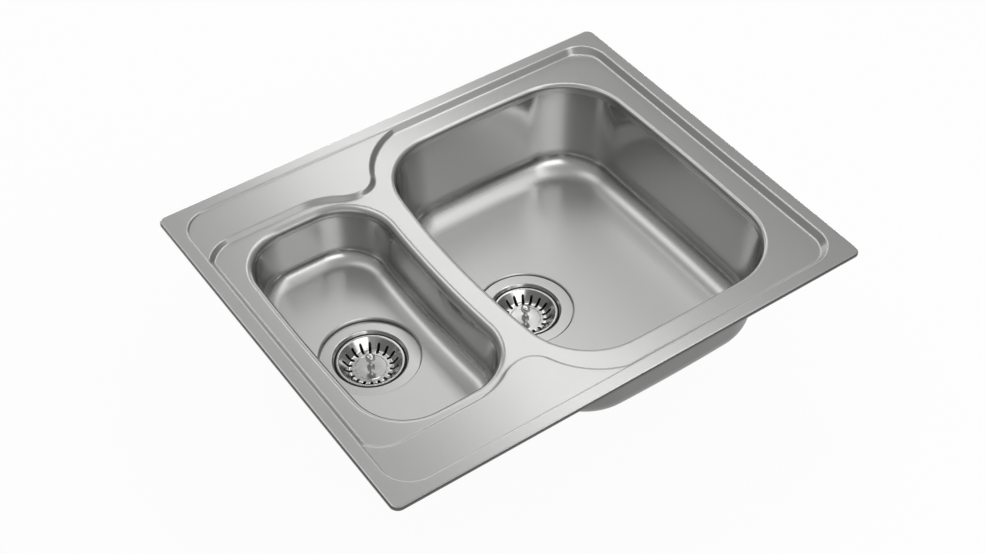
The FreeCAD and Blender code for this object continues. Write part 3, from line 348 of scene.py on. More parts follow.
# %% Edge of a ledge
CORNER_CENTRE, CORNER_RADIUS = np.array([-255.0, 137.4]), 40.0
LEFT_SHOULDER, RIGHT_SHOULDER = 80.0, 97.0
LEFT_LEVEL, RIGHT_LEVEL = 97.4, 136.0
DIP_X, DIP_Y, DIP_LEFT, DIP_RIGHT = -93.55, 156.8, 50.0, 28.0


def ledge_line(spacing):
    """The back ledge's edge at half height from left to right, and the directions towards the field."""
    left_dip, right_dip = np.array([DIP_X, DIP_Y + DIP_LEFT]), np.array([DIP_X, DIP_Y + DIP_RIGHT])
    left_reach = math.sqrt((LEFT_SHOULDER + DIP_LEFT) ** 2 - (left_dip[1] - LEFT_LEVEL) ** 2)
    right_reach = math.sqrt((RIGHT_SHOULDER + DIP_RIGHT) ** 2 - (right_dip[1] - RIGHT_LEVEL) ** 2)
    left, right = np.array([DIP_X - left_reach, LEFT_LEVEL]), np.array([DIP_X + right_reach, RIGHT_LEVEL])
    fall, rise = angle_of(left_dip - left), angle_of(right_dip - right)
    arcs = [
        (CORNER_CENTRE, CORNER_RADIUS, math.pi, -RIGHT_ANGLE, -1),
        (left, LEFT_SHOULDER, RIGHT_ANGLE, fall - RIGHT_ANGLE, -1),
        (left_dip, DIP_LEFT, fall + math.pi, RIGHT_ANGLE - fall, 1),
        (right_dip, DIP_RIGHT, 3 * RIGHT_ANGLE, rise - RIGHT_ANGLE, 1),
        (right, RIGHT_SHOULDER, rise, RIGHT_ANGLE - rise, -1),
    ]
    points, towards = [], []
    for centre, radius, start, turn, side in arcs:
        line, outward = arc_line(centre, radius, start, turn, int(radius * abs(turn) / spacing))
        points.append(line)
        towards.append(outward * side)
    last = right + (0, RIGHT_SHOULDER)
    points.append(np.array([last, (RIM_HALF[0], last[1])]))
    towards.append(np.array([[0.0, -1.0]] * 2))
    return np.concatenate(points), np.concatenate(towards)


edge_line, edge_towards = ledge_line(spacing=2.4)
fine_line, fine_towards = ledge_line(spacing=0.3)
print("ledge edge has", len(edge_line), "points, and", len(fine_line), "to measure from")

# %% Height of the deck
LEDGE_RUN = STEP_RUN * (LEDGE - FIELD) / (RIM_TOP - FIELD)
BATCH = 1000


def ledge_distance(points):
    """How far points lie past a ledge's edge towards the field, measured from the edge's nearest point."""
    folded = points * np.where(points[:, 1:] < 0, (1, -1), (1, 1))
    nearest = np.concatenate([
        np.argmin(((part[:, None] - fine_line) ** 2).sum(axis=2), axis=1)
        for part in np.array_split(folded, max(1, len(folded) // BATCH))
    ])
    return ((folded - fine_line[nearest]) * fine_towards[nearest]).sum(axis=1)


def deck_height(points):
    """The deck's top over the plan: the higher of the rim's step and the ledge's."""
    rim = stepped(rim_distance(points), RIM_TOP, FIELD)
    ledge = stepped(ledge_distance(points) + LEDGE_RUN / 2, LEDGE, FIELD)
    return np.maximum(rim, ledge)


print("height behind the half bowl:", deck_height(np.array([[-186.0, 200.0]])), "mm")

# %% [markdown]
# The plan is triangulated with the feature lines as fixed edges: the fold line, the step's lines, the
# lines of both ledges and the starts of the lips. Triangles inside the mouths are dropped. The folded
# edge and the lips then continue the sheet as strips carried along the same lines. Their rows all run
# inwards, so that their faces look out of the metal.

# %% Lines of the plan
def lip_touch(bowl):
    """How far outside the wall line a lip's roll leaves the field."""
    return bowl["lip"] * math.tan((RIGHT_ANGLE - DRAFT) / 2)


def chain(count, closed):
    """Edges that join a line's points in turn, and the last to the first if it is closed."""
    edges = np.stack([np.arange(count), np.roll(np.arange(count), -1)], axis=1)
    return edges if closed else edges[:-1]


fold_line, fold_outward = rounded_rectangle(RIM_HALF - RIM_ROLL, RIM_CORNER - RIM_ROLL)
mouth_lines = [bowl["line"] + lip_touch(bowl) * bowl["outward"] for bowl in BOWLS.values()]
loops = [fold_line] + mouth_lines
crest = (RIM_TOP - LEDGE) / math.tan(SLOPE)
for distance in np.append(step_stations(RIM_TOP, FIELD), crest):
    inset = RIM_BAND + distance
    loops.append(rounded_rectangle(RIM_HALF - inset, STEP_CORNER - distance, per_corner=28)[0])
plan_lines = [(loop, chain(len(loop), closed=True)) for loop in loops]
for distance in step_stations(LEDGE, FIELD) - LEDGE_RUN / 2:
    for side in (1, -1):
        line = (edge_line + distance * edge_towards) * (1, side)
        line = line[rim_distance(line) > -TOUCH]
        plan_lines.append((line, chain(len(line), closed=False)))
print("the plan keeps", len(plan_lines), "lines")

# %% Plate between the lines
TINY = 1e-9
PLAN_REACH = 1e-5
TRIANGLES_INSIDE = 1


def within(points, loop):
    """Which points lie inside a closed line, by the odd number of its edges crossed on the way out."""
    start, end = loop, np.roll(loop, -1, axis=0)
    x, y = points[:, :1], points[:, 1:]
    spans = (start[:, 1] > y) != (end[:, 1] > y)
    rise = np.where(end[:, 1] == start[:, 1], TINY, end[:, 1] - start[:, 1])
    crossing = start[:, 0] + (y - start[:, 1]) * (end[:, 0] - start[:, 0]) / rise
    return (spans & (x < crossing)).sum(axis=1) % 2 == 1


def deck_plate():
    """The deck's top between its fold and its lips: triangles between the plan's lines, at their height."""
    points, edges = joined(*plan_lines)
    plan, _, faces, *_ = delaunay_2d_cdt(points.tolist(), edges, [], TRIANGLES_INSIDE, PLAN_REACH)
    plan, faces = np.array(plan, float), np.array(faces)
    middles = plan[faces].mean(axis=1)
    in_mouth = within(middles, mouth_lines[0]) | within(middles, mouth_lines[1])
    faces = faces[within(middles, fold_line) & ~in_mouth]
    first, second, third = plan[faces].transpose(1, 0, 2)
    ahead, aside = second - first, third - first
    turned_over = ahead[:, 0] * aside[:, 1] < ahead[:, 1] * aside[:, 0]
    faces[turned_over] = faces[turned_over][:, ::-1]
    return np.column_stack([plan, deck_height(plan)]), faces


plate = deck_plate()
print("plate of", len(plate[0]), "points and", len(plate[1]), "triangles")


# %% Fold and lips
def carried(line, outward, shift, height):
    """A section carried along a closed line: each row is the line moved out by a shift, at a height."""
    plan = line + shift[:, None, None] * outward
    levels = np.broadcast_to(height[:, None, None], (*plan.shape[:2], 1))
    return np.concatenate([plan, levels], axis=2).reshape(-1, 3), grid_faces(len(shift), len(line))


def fold_strip(per_roll=8):
    """The rim's skirt and its quarter roll, up to the flat top."""
    angles = np.linspace(RIGHT_ANGLE, 0, per_roll)
    shift = np.append(RIM_ROLL, RIM_ROLL * np.sin(angles))
    height = np.append(0.0, RIM_TOP - RIM_ROLL + RIM_ROLL * np.cos(angles))
    return carried(fold_line, fold_outward, shift, height)


def lip_strip(bowl, per_roll=14):
    """A mouth's lip: a roll from the field down to the drafted wall, then the wall to the weld."""
    angles = np.linspace(0, RIGHT_ANGLE - DRAFT, per_roll)
    shift = lip_touch(bowl) - bowl["lip"] * np.sin(angles)
    height = FIELD - bowl["lip"] + bowl["lip"] * np.cos(angles)
    shift = np.append(shift, (WELD - FIELD) * math.tan(DRAFT))
    return carried(bowl["line"], bowl["outward"], shift, np.append(height, WELD))


deck_skin = joined(plate, fold_strip(), *[lip_strip(bowl) for bowl in BOWLS.values()])
deck = make_piece("pressed_deck", *deck_skin, "sink", ["sink_deck"], "brushed_stainless", SHEET)

# %% [markdown]
# ## The drawn bowls
# Each bowl is pressed as a cup with walls that lean in a little, a roll into the floor and a sunk seat
# for the waste. The section runs down the wall, round the roll and along the floor to the seat. The seat
# bites into the roll at the left, most of all in the small bowl, and there the roll is cut short: for
# each point of the outline, halving steps find where the roll meets the seat's bevel.

# %% Roll at a bowl's foot
RECESS_RADIUS, RECESS_BEVEL = 57.5, 1.2
RECESS_TOP = RECESS_RADIUS + RECESS_BEVEL
HALVINGS = 40


def on_roll(bowl, angle):
    """Plan points and heights on a roll, a circle that touches wall and floor, at angles from the level.

    At angle a the inset is less than the foot's by roll cos a, and the height is floor + roll (1 - sin a).
    """
    floor, roll = bowl["floor"], bowl["roll"]
    foot = (FIELD - floor) * math.tan(DRAFT) + roll * math.tan((RIGHT_ANGLE - DRAFT) / 2)
    inset = foot - roll * np.cos(angle)
    return bowl["line"] - inset[:, None] * bowl["outward"], floor + roll * (1 - np.sin(angle))


def roll_end(bowl):
    """The angle at which the roll ends round the outline: at the floor, or earlier at the seat's bevel."""
    low, high = np.full(len(bowl["line"]), DRAFT), np.full(len(bowl["line"]), RIGHT_ANGLE)
    for _ in range(HALVINGS):
        middle = (low + high) / 2
        plan, height = on_roll(bowl, middle)
        outside = np.linalg.norm(plan - bowl["drain"], axis=1) > RECESS_TOP + height - bowl["floor"]
        low, high = np.where(outside, middle, low), np.where(outside, high, middle)
    return np.where(np.isclose(high, RIGHT_ANGLE), RIGHT_ANGLE, low)


for name, bowl in BOWLS.items():
    print(name, "roll is cut short at", (roll_end(bowl) < RIGHT_ANGLE).sum(), "points")

# %% Bowls
DRAIN_RADIUS, DRAIN_MARGIN = 45.0, 6.0


def at_height(plan, height):
    """Plan points, all at one height."""
    return np.column_stack([plan, np.full(len(plan), height)])


def bowl_skin(bowl, wall_rows=5, roll_rows=22, floor_rows=8):
    """A bowl's inside from the weld to the drain's edge: rows of points round the outline.

    Wall: inset grows with depth by the draft. Roll: a circle that touches wall and floor. Floor: straight
    lines from the roll's foot to the seat's circle. Seat: a bevel, a short wall and a flat ring.
    """
    floor, drain = bowl["floor"], bowl["drain"]
    wall_foot = floor + bowl["roll"] * (1 - math.sin(DRAFT))
    rows = []
    for height in np.linspace(WELD, wall_foot, wall_rows)[:-1]:
        inset = (FIELD - height) * math.tan(DRAFT)
        rows.append(at_height(bowl["line"] - inset * bowl["outward"], height))
    last = roll_end(bowl)
    for share in np.linspace(0, 1, roll_rows):
        rows.append(np.column_stack(on_roll(bowl, DRAFT + (last - DRAFT) * share)))
    foot, foot_height = rows[-1][:, :2], rows[-1][:, 2]
    ray = foot - drain
    facing = ray / np.linalg.norm(ray, axis=1)[:, None]
    brim = drain + (RECESS_TOP + foot_height - floor)[:, None] * facing
    for share in np.linspace(0, 1, floor_rows)[1:]:
        rows.append(np.column_stack([foot + (brim - foot) * share, foot_height]))
    seat = floor - bowl["recess"]
    rings = [
        (RECESS_RADIUS, floor - RECESS_BEVEL), (RECESS_RADIUS, seat),
        (DRAIN_RADIUS + DRAIN_MARGIN, seat), (DRAIN_RADIUS, seat),
    ]
    for radius, height in rings:
        rows.append(at_height(drain + radius * facing, height))
    return np.concatenate(rows), grid_faces(len(rows), len(bowl["line"]))


bowls = {}
for name, bowl in BOWLS.items():
    skin = joined(bowl_skin(bowl))
    bowls[name] = make_piece(
        f"{name}_drawn_bowl", *skin, "sink", [f"{name}_bowl"], "brushed_stainless", SHEET
    )

# %% [markdown]
# ## Turned and pierced pieces
# A basket waste is spun and pressed from sheet. Its flange, throat, basket, seal and knob are round about
# the drain's middle, so each is a section of radius and height turned about that line. The basket's slots
# and the cup's holes break the ring up. There the sheet is laid out in sectors, one for each hole, with
# rows that close in from the sector's border to the hole. Cutting the holes with a boolean would leave
# long thin faces that shade badly, and the rows also let the edge of every hole roll down as the press
# leaves it.

# %% Turned sections
COLUMNS = 144


def rounded(corners, steps=7):
    """A section of (radius, height, roll) corners: an arc of that roll touches both sides of a corner."""
    rows = []
    for number, (radius, height, roll) in enumerate(corners):
        here = np.array([radius, height], float)
        if not roll:
            rows.append(here[None])
            continue
        back = np.array(corners[number - 1][:2]) - here
        ahead = np.array(corners[(number + 1) % len(corners)][:2]) - here
        back, ahead = back / np.linalg.norm(back), ahead / np.linalg.norm(ahead)
        half = math.acos(np.clip(back @ ahead, -1, 1)) / 2
        centre = here + (back + ahead) / np.linalg.norm(back + ahead) * roll / math.sin(half)
        start, end = (here + way * roll / math.tan(half) - centre for way in (back, ahead))
        angles = angle_of(start) + between(start, end) * np.linspace(0, 1, steps)
        rows.append(centre + roll * directions_at(angles))
    return np.concatenate(rows)


def turned(section):
    """A section turned about the vertical: each row of radius and height becomes a ring of points."""
    radius, height = np.array(section, float).T
    axis, ring = arc_line((0, 0), 0, 0, 2 * math.pi, COLUMNS)
    return carried(axis, ring, radius, height)


print("a turned ring has", COLUMNS, "points")


# %% Pierced rings
def sector_border(inner, outer, half, arc, along):
    """Points round a ring's sector of half an angle either way: outer arc, side, inner arc, side."""
    sweep, run = np.linspace(-half, half, arc + 1), np.arange(along) / along
    angle = np.concatenate([sweep[:-1], np.full(along, half), sweep[:0:-1], np.full(along, -half)])
    radius = np.concatenate([
        np.full(arc, outer), outer + (inner - outer) * run,
        np.full(arc, inner), inner + (outer - inner) * run,
    ])
    return radius[:, None] * directions_at(angle)


def slot_edge(ray, half_length, half_width):
    """How far a slot's edge lies from its middle, along rays of length 1.

    A ray meets a straight side at half width / |sine|, or else the circle at the slot's end.
    """
    along_ray, across_ray = np.abs(ray).T
    side = half_width / np.maximum(across_ray, TINY)
    depth = np.sqrt(np.maximum(half_width ** 2 - (half_length * across_ray) ** 2, 0))
    return np.where(side * along_ray <= half_length, side, half_length * along_ray + depth)


def pierced(inner, outer, count, slot, height, roll, along=12, bend_rows=6):
    """A ring of sheet with evenly spaced slots, each with a rolled-down edge.

    A slot is its middle's radius, half the distance between its ends' centres, and half its width. A
    sector's border is the first row, and the slot is the last. Over the roll a row's distance from the
    slot is roll (1 - sin a) and its drop is roll (1 - cos a), for a from 0 to a right angle.
    """
    middle, half_length, half_width = slot
    half = math.pi / count
    ray = sector_border(inner, outer, half, COLUMNS // count, along) - (middle, 0)
    reach = np.linalg.norm(ray, axis=1)
    ray = ray / reach[:, None]
    edge = slot_edge(ray, half_length, half_width)
    bend = np.linspace(0, RIGHT_ANGLE, bend_rows)
    on_bend = np.repeat(roll * (1 - np.sin(bend))[:, None], len(edge), axis=1)
    away = np.concatenate([[reach - edge, (reach - edge + roll) / 2], on_bend])
    drop = np.concatenate([[0, 0], roll * (1 - np.cos(bend))])
    plan = (middle, 0) + (edge + away)[:, :, None] * ray
    level = height(np.linalg.norm(plan, axis=2)) - drop[:, None]
    turns = np.arange(count)[:, None, None] * 2 * half
    x = np.cos(turns) * plan[..., 0] - np.sin(turns) * plan[..., 1]
    y = np.sin(turns) * plan[..., 0] + np.cos(turns) * plan[..., 1]
    points = np.stack([x, y, np.broadcast_to(level, x.shape)], axis=-1).reshape(-1, 3)
    sector = grid_faces(*level.shape)
    return points, (sector + np.arange(count)[:, None, None] * level.size).reshape(-1, 4)


print("a slot with ends 8 mm apart reaches", slot_edge(np.array([[1.0, 0.0]]), 4.0, 1.6)[0], "mm")

# %% [markdown]
# ## The basket wastes
# From the outside in, a waste shows a flat ring, a rolled mouth and a throat. In the throat sits a loose
# basket on a black seal. The basket is a shallow dish with 18 slots that run from its flat disc up its
# side, and the disc carries a fine turned line and a pull knob. Heights are measured from the seat in
# the bowl that the ring lies on.

# %% Basket
CUP_WALL = 0.8
DISC_RADIUS, DISC_LEVEL, DISC_ROLL = 25.5, -13.0, 3.0
MOUTH_RADIUS, MOUTH_LEVEL, BASKET_RADIUS = 36.1, -1.0, 38.3
SLOTS, SLOT, SLOT_INNER, SLOT_OUTER, SLOT_ROLL = 18, (26.6, 4.0, 1.6), 19.9, 34.2, 0.35
LINE_LEVEL = DISC_LEVEL - 0.5


def dish(radius):
    """The basket's height: a flat disc, a roll that touches it, then an even rise to the rim."""
    slope = math.atan2(MOUTH_LEVEL - DISC_LEVEL, MOUTH_RADIUS - DISC_RADIUS)
    touch = DISC_ROLL * math.tan(slope / 2)
    past = radius - DISC_RADIUS
    roll = DISC_ROLL - np.sqrt(np.maximum(DISC_ROLL ** 2 - np.maximum(past + touch, 0) ** 2, 0))
    return DISC_LEVEL + np.where(past < touch * math.cos(slope), roll, past * math.tan(slope))


basket_rim = rounded([
    (BASKET_RADIUS, -1.4, 0), (BASKET_RADIUS, MOUTH_LEVEL, 0.3), (MOUTH_RADIUS, MOUTH_LEVEL, 1.5),
    (SLOT_OUTER, dish(SLOT_OUTER), 0),
])
basket_side = pierced(SLOT_INNER, SLOT_OUTER, SLOTS, SLOT, dish, SLOT_ROLL, along=24)
basket_disc = [
    (SLOT_INNER, DISC_LEVEL), (18.8, DISC_LEVEL), (18.3, LINE_LEVEL), (17.9, LINE_LEVEL),
    (17.4, DISC_LEVEL), (2.1, DISC_LEVEL),
]
basket_skin = joined(turned(basket_rim), basket_side, turned(basket_disc))
print("basket has", len(basket_skin[1]), "faces")

# %% [markdown]
# The cup underneath has six holes, seen once the basket is lifted. Its ring, mouth, throat and the step
# that carries the seal are one section. The seal is a closed section. The knob is a spool with a foot
# and a crowned head, turned from bar.

# %% Cup, seal and knob
CUP_BOTTOM = -26.0
HOLES, HOLE, HOLE_INNER, HOLE_OUTER, HOLE_ROLL = 6, (22.0, 0.0, 7.5), 11.5, 33.0, 0.9


def cup_floor(radius):
    """The cup's flat bottom."""
    return np.full_like(radius, CUP_BOTTOM)


cup_side = rounded([
    (56.5, 1.7, 0), (56.5, 2.0, 0.3), (43.0, 2.0, 1.5), (40.3, -1.5, 1.5), (40.3, -5.0, 0.6),
    (35.6, -5.0, 0.9), (35.6, CUP_BOTTOM, 2.0), (HOLE_OUTER, CUP_BOTTOM, 0),
])
cup_holes = pierced(HOLE_INNER, HOLE_OUTER, HOLES, HOLE, cup_floor, HOLE_ROLL)
cup_middle = [(HOLE_INNER, CUP_BOTTOM), (4.2, CUP_BOTTOM)]
cup_skin = joined(turned(cup_side), cup_holes, turned(cup_middle))
seal_section = rounded([(36.9, -5.0, 0.4), (40.0, -5.0, 0.9), (40.0, -1.8, 1.1), (36.9, -1.8, 0.2)])
seal_skin = joined(turned(np.concatenate([seal_section, seal_section[:1]])))
knob_skin = joined(turned(rounded([
    (0, -13.0, 0), (4.5, -13.0, 0.3), (4.5, -11.0, 1.2), (2.6, -8.0, 4.0), (2.6, -2.0, 4.0),
    (5.6, 1.0, 1.5), (5.6, 7.0, 4.0), (0, 7.0, 0),
], steps=10)))
print("cup has", len(cup_skin[1]), "faces, seal", len(seal_skin[1]), "and knob", len(knob_skin[1]))

# %% Both wastes
waste_kinds = {
    "pierced_basket": (basket_skin, "basket", "polished_stainless", CUP_WALL),
    "flanged_cup": (cup_skin, "strainer_cup", "polished_stainless", CUP_WALL),
    "moulded_seal": (seal_skin, "basket_seal", "black_rubber", 0.0),
    "turned_knob": (knob_skin, "basket_knob", "polished_stainless", 0.0),
}
wastes = {}
for name, bowl in BOWLS.items():
    seat = np.array([*bowl["drain"], bowl["floor"] - bowl["recess"]])
    for kind, ((points, faces), node, slot, sheet) in waste_kinds.items():
        body = "sink" if kind == "flanged_cup" else f"{name}_basket_set"
        wastes[name, kind] = make_piece(
            f"{name}_{kind}", points + seat, faces, body, [f"{name}_{node}"], slot, sheet
        )

# %% [markdown]
# ## Finishes
# Colours are written as they look on a screen and turned to linear light by one function. One more small
# function adds a shader node, sets its values and links what feeds it. Where a node feeds another with
# its first output, only the node is named. Patterns are laid out on Object coordinates, which are metres
# here, so a pattern of a given size in millimetres repeats 1000 / size times in a unit.

# %% Material helpers
def linear(hex_colour):
    """An sRGB hex colour as linear red, green, blue and full alpha."""
    channels = np.array([int(hex_colour[start:start + 2], 16) for start in (1, 3, 5)]) / 255
    channels = np.where(channels <= 0.04045, channels / 12.92, ((channels + 0.055) / 1.055) ** 2.4)
    return (*channels.tolist(), 1.0)


def fill(node, inputs):
    """Give a node's inputs their values, or link them from a socket or from a node's first output."""
    for name, value in inputs.items():
        if isinstance(value, bpy.types.Node):
            value = value.outputs[0]
        if isinstance(value, bpy.types.NodeSocket):
            node.id_data.links.new(value, node.inputs[name])
        else:
            node.inputs[name].default_value = value


def add(tree, kind, inputs=None, **settings):
    """One node: settings are its properties, and inputs are values or what to link from."""
    node = tree.nodes.new("ShaderNode" + kind)
    for name, value in settings.items():
        setattr(node, name, value)
    fill(node, inputs or {})
    return node


def shades(ramp, first, last):
    """Give a colour ramp its two end colours."""
    ramp.color_ramp.elements[0].color = linear(first)
    ramp.color_ramp.elements[1].color = linear(last)
    return ramp


def pattern(place, size):
    """The inputs of a pattern laid out on a place, of a size in mm."""
    return {"Vector": place, "Scale": 1000 / size}


print("mid grey #808080 is", round(linear("#808080")[0], 3), "in linear light")


# %% Materials on pieces and faces
def new_material(name, colour, metallic=0.0):
    """A material of one base colour: its tree, its principled shader and its Object coordinates."""
    material = bpy.data.materials.new(name)
    material.use_nodes = True
    shader = material.node_tree.nodes["Principled BSDF"]
    fill(shader, {"Base Color": linear(colour), "Metallic": metallic})
    place = add(material.node_tree, "TexCoord").outputs["Object"]
    return material, material.node_tree, shader, place


def wear(piece, *materials):
    """Give a piece its materials, in the order of its faces' numbers."""
    piece.data.materials.clear()
    for material in materials:
        piece.data.materials.append(material)


def places_of(items, field):
    """Where a mesh's points or faces lie, in mm, read from one field of theirs."""
    places = np.empty(len(items) * 3, np.float32)
    items.foreach_get(field, places)
    return places.reshape(-1, 3) / MM


def choose_finish(piece, numbers):
    """Every face wears the material of its number."""
    piece.data.polygons.foreach_set("material_index", numbers.astype(np.int32))


print("the deck has", len(deck.data.polygons), "faces to choose from")

# %% [markdown]
# ### Satin steel
# The deck and the bowls are one kind of steel with a satin finish. A satin face has been rubbed with fine
# grit in no single direction, so it shows lamps as soft patches, brighter where they are mirrored and
# never sharp. Below the deck nobody rubs it, and the sheet keeps the dull grey skin of the rolling mill.
# On all of them a fine grain moves the roughness, and a wide soft cloud stands for uneven rubbing. The
# grain also dents the surface a little.

# %% Satin steel
GRAIN_MM, CLOUD_MM, DENT_MM = 0.9, 60.0, 0.1


def satin(name, colour, low, high, cloud, dent):
    """A rubbed metal: grain spreads the roughness from low to high, a cloud adds to it, dents tilt it."""
    material, tree, shader, place = new_material(name, colour, metallic=1.0)
    # Real grit marks are about 0.05 mm apart. At 0.9 mm they are as fine as a render can show.
    grain = add(tree, "TexNoise", {**pattern(place, GRAIN_MM), "Detail": 2.0})
    patch = add(tree, "TexNoise", {**pattern(place, CLOUD_MM), "Detail": 3.0})
    fine = add(tree, "MapRange", {"Value": grain, "To Min": low, "To Max": high})
    wide = add(tree, "MapRange", {"Value": patch, "To Min": -cloud, "To Max": cloud})
    total = add(tree, "Math", {0: fine, 1: wide})
    bump = add(tree, "Bump", {"Height": grain, "Strength": dent, "Distance": DENT_MM * MM})
    fill(shader, {"Roughness": total, "Normal": bump})
    return material


# Stainless steel, rubbed satin: a pale, slightly warm grey with soft broad highlights
steel_deck = satin("stainless_steel_satin_rubbed", "#B8B8B7", low=0.26, high=0.32, cloud=0.015, dent=0.02)
# Stainless steel, drawn and rubbed: a soft and nearly even floor, and walls the die has burnished bright
steel_bowl = satin("stainless_steel_drawn_satin", "#BFBFBE", low=0.36, high=0.40, cloud=0.01, dent=0.008)
# Stainless steel, mill finish: grey, half dull, with a faint cloudy sheen and no clear highlight
steel_outside = satin("stainless_steel_mill_finish", "#797978", low=0.32, high=0.40, cloud=0.05, dent=0.03)
# Stainless steel on the rim's turned-down skirt: a little duller, with painted shade that darkens the skirt
steel_skirt_painted_shade = satin("stainless_steel_skirt_painted_shade", "#676766", low=0.34, high=0.42, cloud=0.04, dent=0.03)
# Stainless steel, as drawn: dull, with painted shade that darkens the cup's inside below the seal, so slots
# read as holes
steel_dull_painted_shade = satin("stainless_steel_as_drawn_painted_shade", "#686867", low=0.46, high=0.58, cloud=0.04, dent=0.03)
print("satin steels:", [item.name for item in bpy.data.materials if "stainless" in item.name])

# %% [markdown]
# Drawing stretches a bowl's floor and roughens it, while the walls slide along the die and come out
# burnished. So the bowls' roughness falls with height, from the floor to most of the way up the roll.
# The share of burnish is stored with the mesh's points, where the material reads it. A gradient in the
# material would do as well, but would need the floor's level of each bowl.

# %% Burnished walls
BURNISH, BURNISH_RISE = 0.24, 0.7


def mark_burnish(piece, floor, roll):
    """A value of the points: 0 on the floor, rising evenly with height to 1 well up the roll."""
    height = places_of(piece.data.vertices, "co")[:, 2]
    share = np.clip((height - floor) / (BURNISH_RISE * roll), 0, 1)
    piece.data.attributes.new("burnish", "FLOAT", "POINT").data.foreach_set("value", share)


tree, shader = steel_bowl.node_tree, steel_bowl.node_tree.nodes["Principled BSDF"]
share = add(tree, "Attribute", attribute_name="burnish").outputs["Fac"]
less = add(tree, "Math", {0: share, 1: -BURNISH}, operation="MULTIPLY")
rubbed = shader.inputs["Roughness"].links[0].from_socket
fill(shader, {"Roughness": add(tree, "Math", {0: rubbed, 1: less})})
for name, bowl in BOWLS.items():
    mark_burnish(bowls[name], bowl["floor"], bowl["roll"])
    wear(bowls[name], steel_bowl, steel_outside)
    bowls[name].modifiers["sheet"].material_offset = 1
    print(bowls[name].name, "wears", steel_bowl.name, "and", steel_outside.name)

# %% [markdown]
# The deck is satin above and mill finish below, and its turned-down edge is painted darker, as painted
# shade on the skirt. The sheet's thickness comes from a modifier, which gives its underside the next
# material. The edge's faces are told apart by their place.

# %% Finishes of the deck
SHADED_SKIRT_NUMBER = 2


def on_skirt(places):
    """Which places lie on the rim's skirt or low on its roll: far out and low."""
    reach = past_rectangle(places[:, :2], RIM_HALF - RIM_CORNER)
    return (reach > RIM_CORNER - RIM_ROLL / 2) & (places[:, 2] < RIM_TOP - RIM_ROLL / 4)


wear(deck, steel_deck, steel_outside, steel_skirt_painted_shade)
deck.modifiers["sheet"].material_offset = 1
skirt = on_skirt(places_of(deck.data.polygons, "center"))
# The skirt's faces wear the darker steel, which is painted shade.
choose_finish(deck, np.where(skirt, SHADED_SKIRT_NUMBER, 0))
print("faces on the deck's edge:", skirt.sum())

# %% [markdown]
# ### Polished steel, plated steel
# The basket, the throat and the knob are bright polished: nearly mirrors with hair-fine scratches. The
# cup wears three finishes, told apart by the distance from the drain's middle: dull inside and painted
# dark there as shade, polished in the throat, and satin on the flat ring. Screws, nuts and brackets are
# mild steel with zinc on it, greyer and a little mottled.

# %% Polished and plated steel
SCRATCH_MM, CRYSTAL_MM = 1.5, 3.0
CUP_INNER, FLANGE_INNER = 36.2, 43.6
# Stainless steel, buffed: mirrors its surroundings, with faint scratches in every direction
steel_polished, tree, shader, place = new_material("stainless_steel_buffed", "#C2C2C1", metallic=1.0)
marks = add(tree, "TexVoronoi", pattern(place, SCRATCH_MM), feature="DISTANCE_TO_EDGE")
fine = add(tree, "MapRange", {"Value": marks, "To Min": 0.16, "To Max": 0.06})
fill(shader, {"Roughness": fine})

# Zinc-plated steel, passivated: bluish grey, half dull, mottled by its crystals
steel_plated, tree, shader, place = new_material("steel_zinc_plated", "#B4B7BA", metallic=1.0)
crystals = add(tree, "TexVoronoi", pattern(place, CRYSTAL_MM))
ramp = add(tree, "ValToRGB", {"Fac": crystals.outputs["Color"]})
dull = add(tree, "MapRange", {"Value": crystals, "To Min": 0.30, "To Max": 0.45})
fill(shader, {"Base Color": shades(ramp, "#A3A7AB", "#C0C2C4"), "Roughness": dull})

for name, bowl in BOWLS.items():
    cup = wastes[name, "flanged_cup"]
    # The cup's inside wears the darker steel, which is painted shade for the shade under the basket.
    wear(cup, steel_dull_painted_shade, steel_polished, steel_deck)
    middles = places_of(cup.data.polygons, "center")[:, :2]
    numbers = np.digitize(np.linalg.norm(middles - bowl["drain"], axis=1), (CUP_INNER, FLANGE_INNER))
    choose_finish(cup, numbers)
    for kind in ("pierced_basket", "turned_knob"):
        wear(wastes[name, kind], steel_polished)
    print(cup.name, "has", np.bincount(numbers), "faces of each finish")

# %% [markdown]
# ### Rubber and foam
# Seals are black moulded rubber, matt with a faint bloom. The strip under the rim is grey closed-cell
# foam, whose cut cells show as small dimples.

# %% Rubber and foam
BLOOM_MM, CELL_MM, PIT_MM = 2.0, 0.8, 0.3
# Nitrile rubber, moulded: near black, matt, with a fine powdery bloom
rubber, tree, shader, place = new_material("nitrile_rubber_moulded", "#161617")
bloom = add(tree, "TexNoise", {**pattern(place, BLOOM_MM), "Detail": 4.0})
ramp = add(tree, "ValToRGB", {"Fac": bloom})
matt = add(tree, "MapRange", {"Value": bloom, "To Min": 0.5, "To Max": 0.7})
fill(shader, {"Base Color": shades(ramp, "#111112", "#222224"), "Roughness": matt})

# Polyethylene foam, closed cell: mid grey, quite matt, pitted by cells about 0.8 mm wide
foam, tree, shader, place = new_material("polyethylene_foam_closed_cell", "#7C7C7B")
cells = add(tree, "TexVoronoi", pattern(place, CELL_MM))
ramp = add(tree, "ValToRGB", {"Fac": cells})
pits = add(tree, "Bump", {"Height": cells, "Strength": 0.5, "Distance": PIT_MM * MM})
fill(shader, {"Base Color": shades(ramp, "#5F5F5E", "#858584"), "Roughness": 0.95, "Normal": pits})
for name in BOWLS:
    wear(wastes[name, "moulded_seal"], rubber)
    print(wastes[name, "moulded_seal"].name, "wears", rubber.name)

# %% [markdown]
# ### Bitumen and plastic
# The pad under the main bowl is filled bitumen sheet with a coarse pressed grain. The waste's body is
# moulded polypropylene, whose white is slightly creamy and lets a little light in.

# %% Bitumen and plastic
PRESS_MM, PRESS_DEPTH_MM, SPARK_MM, SPARK_DEPTH_MM = 2.5, 0.8, 1.2, 0.2
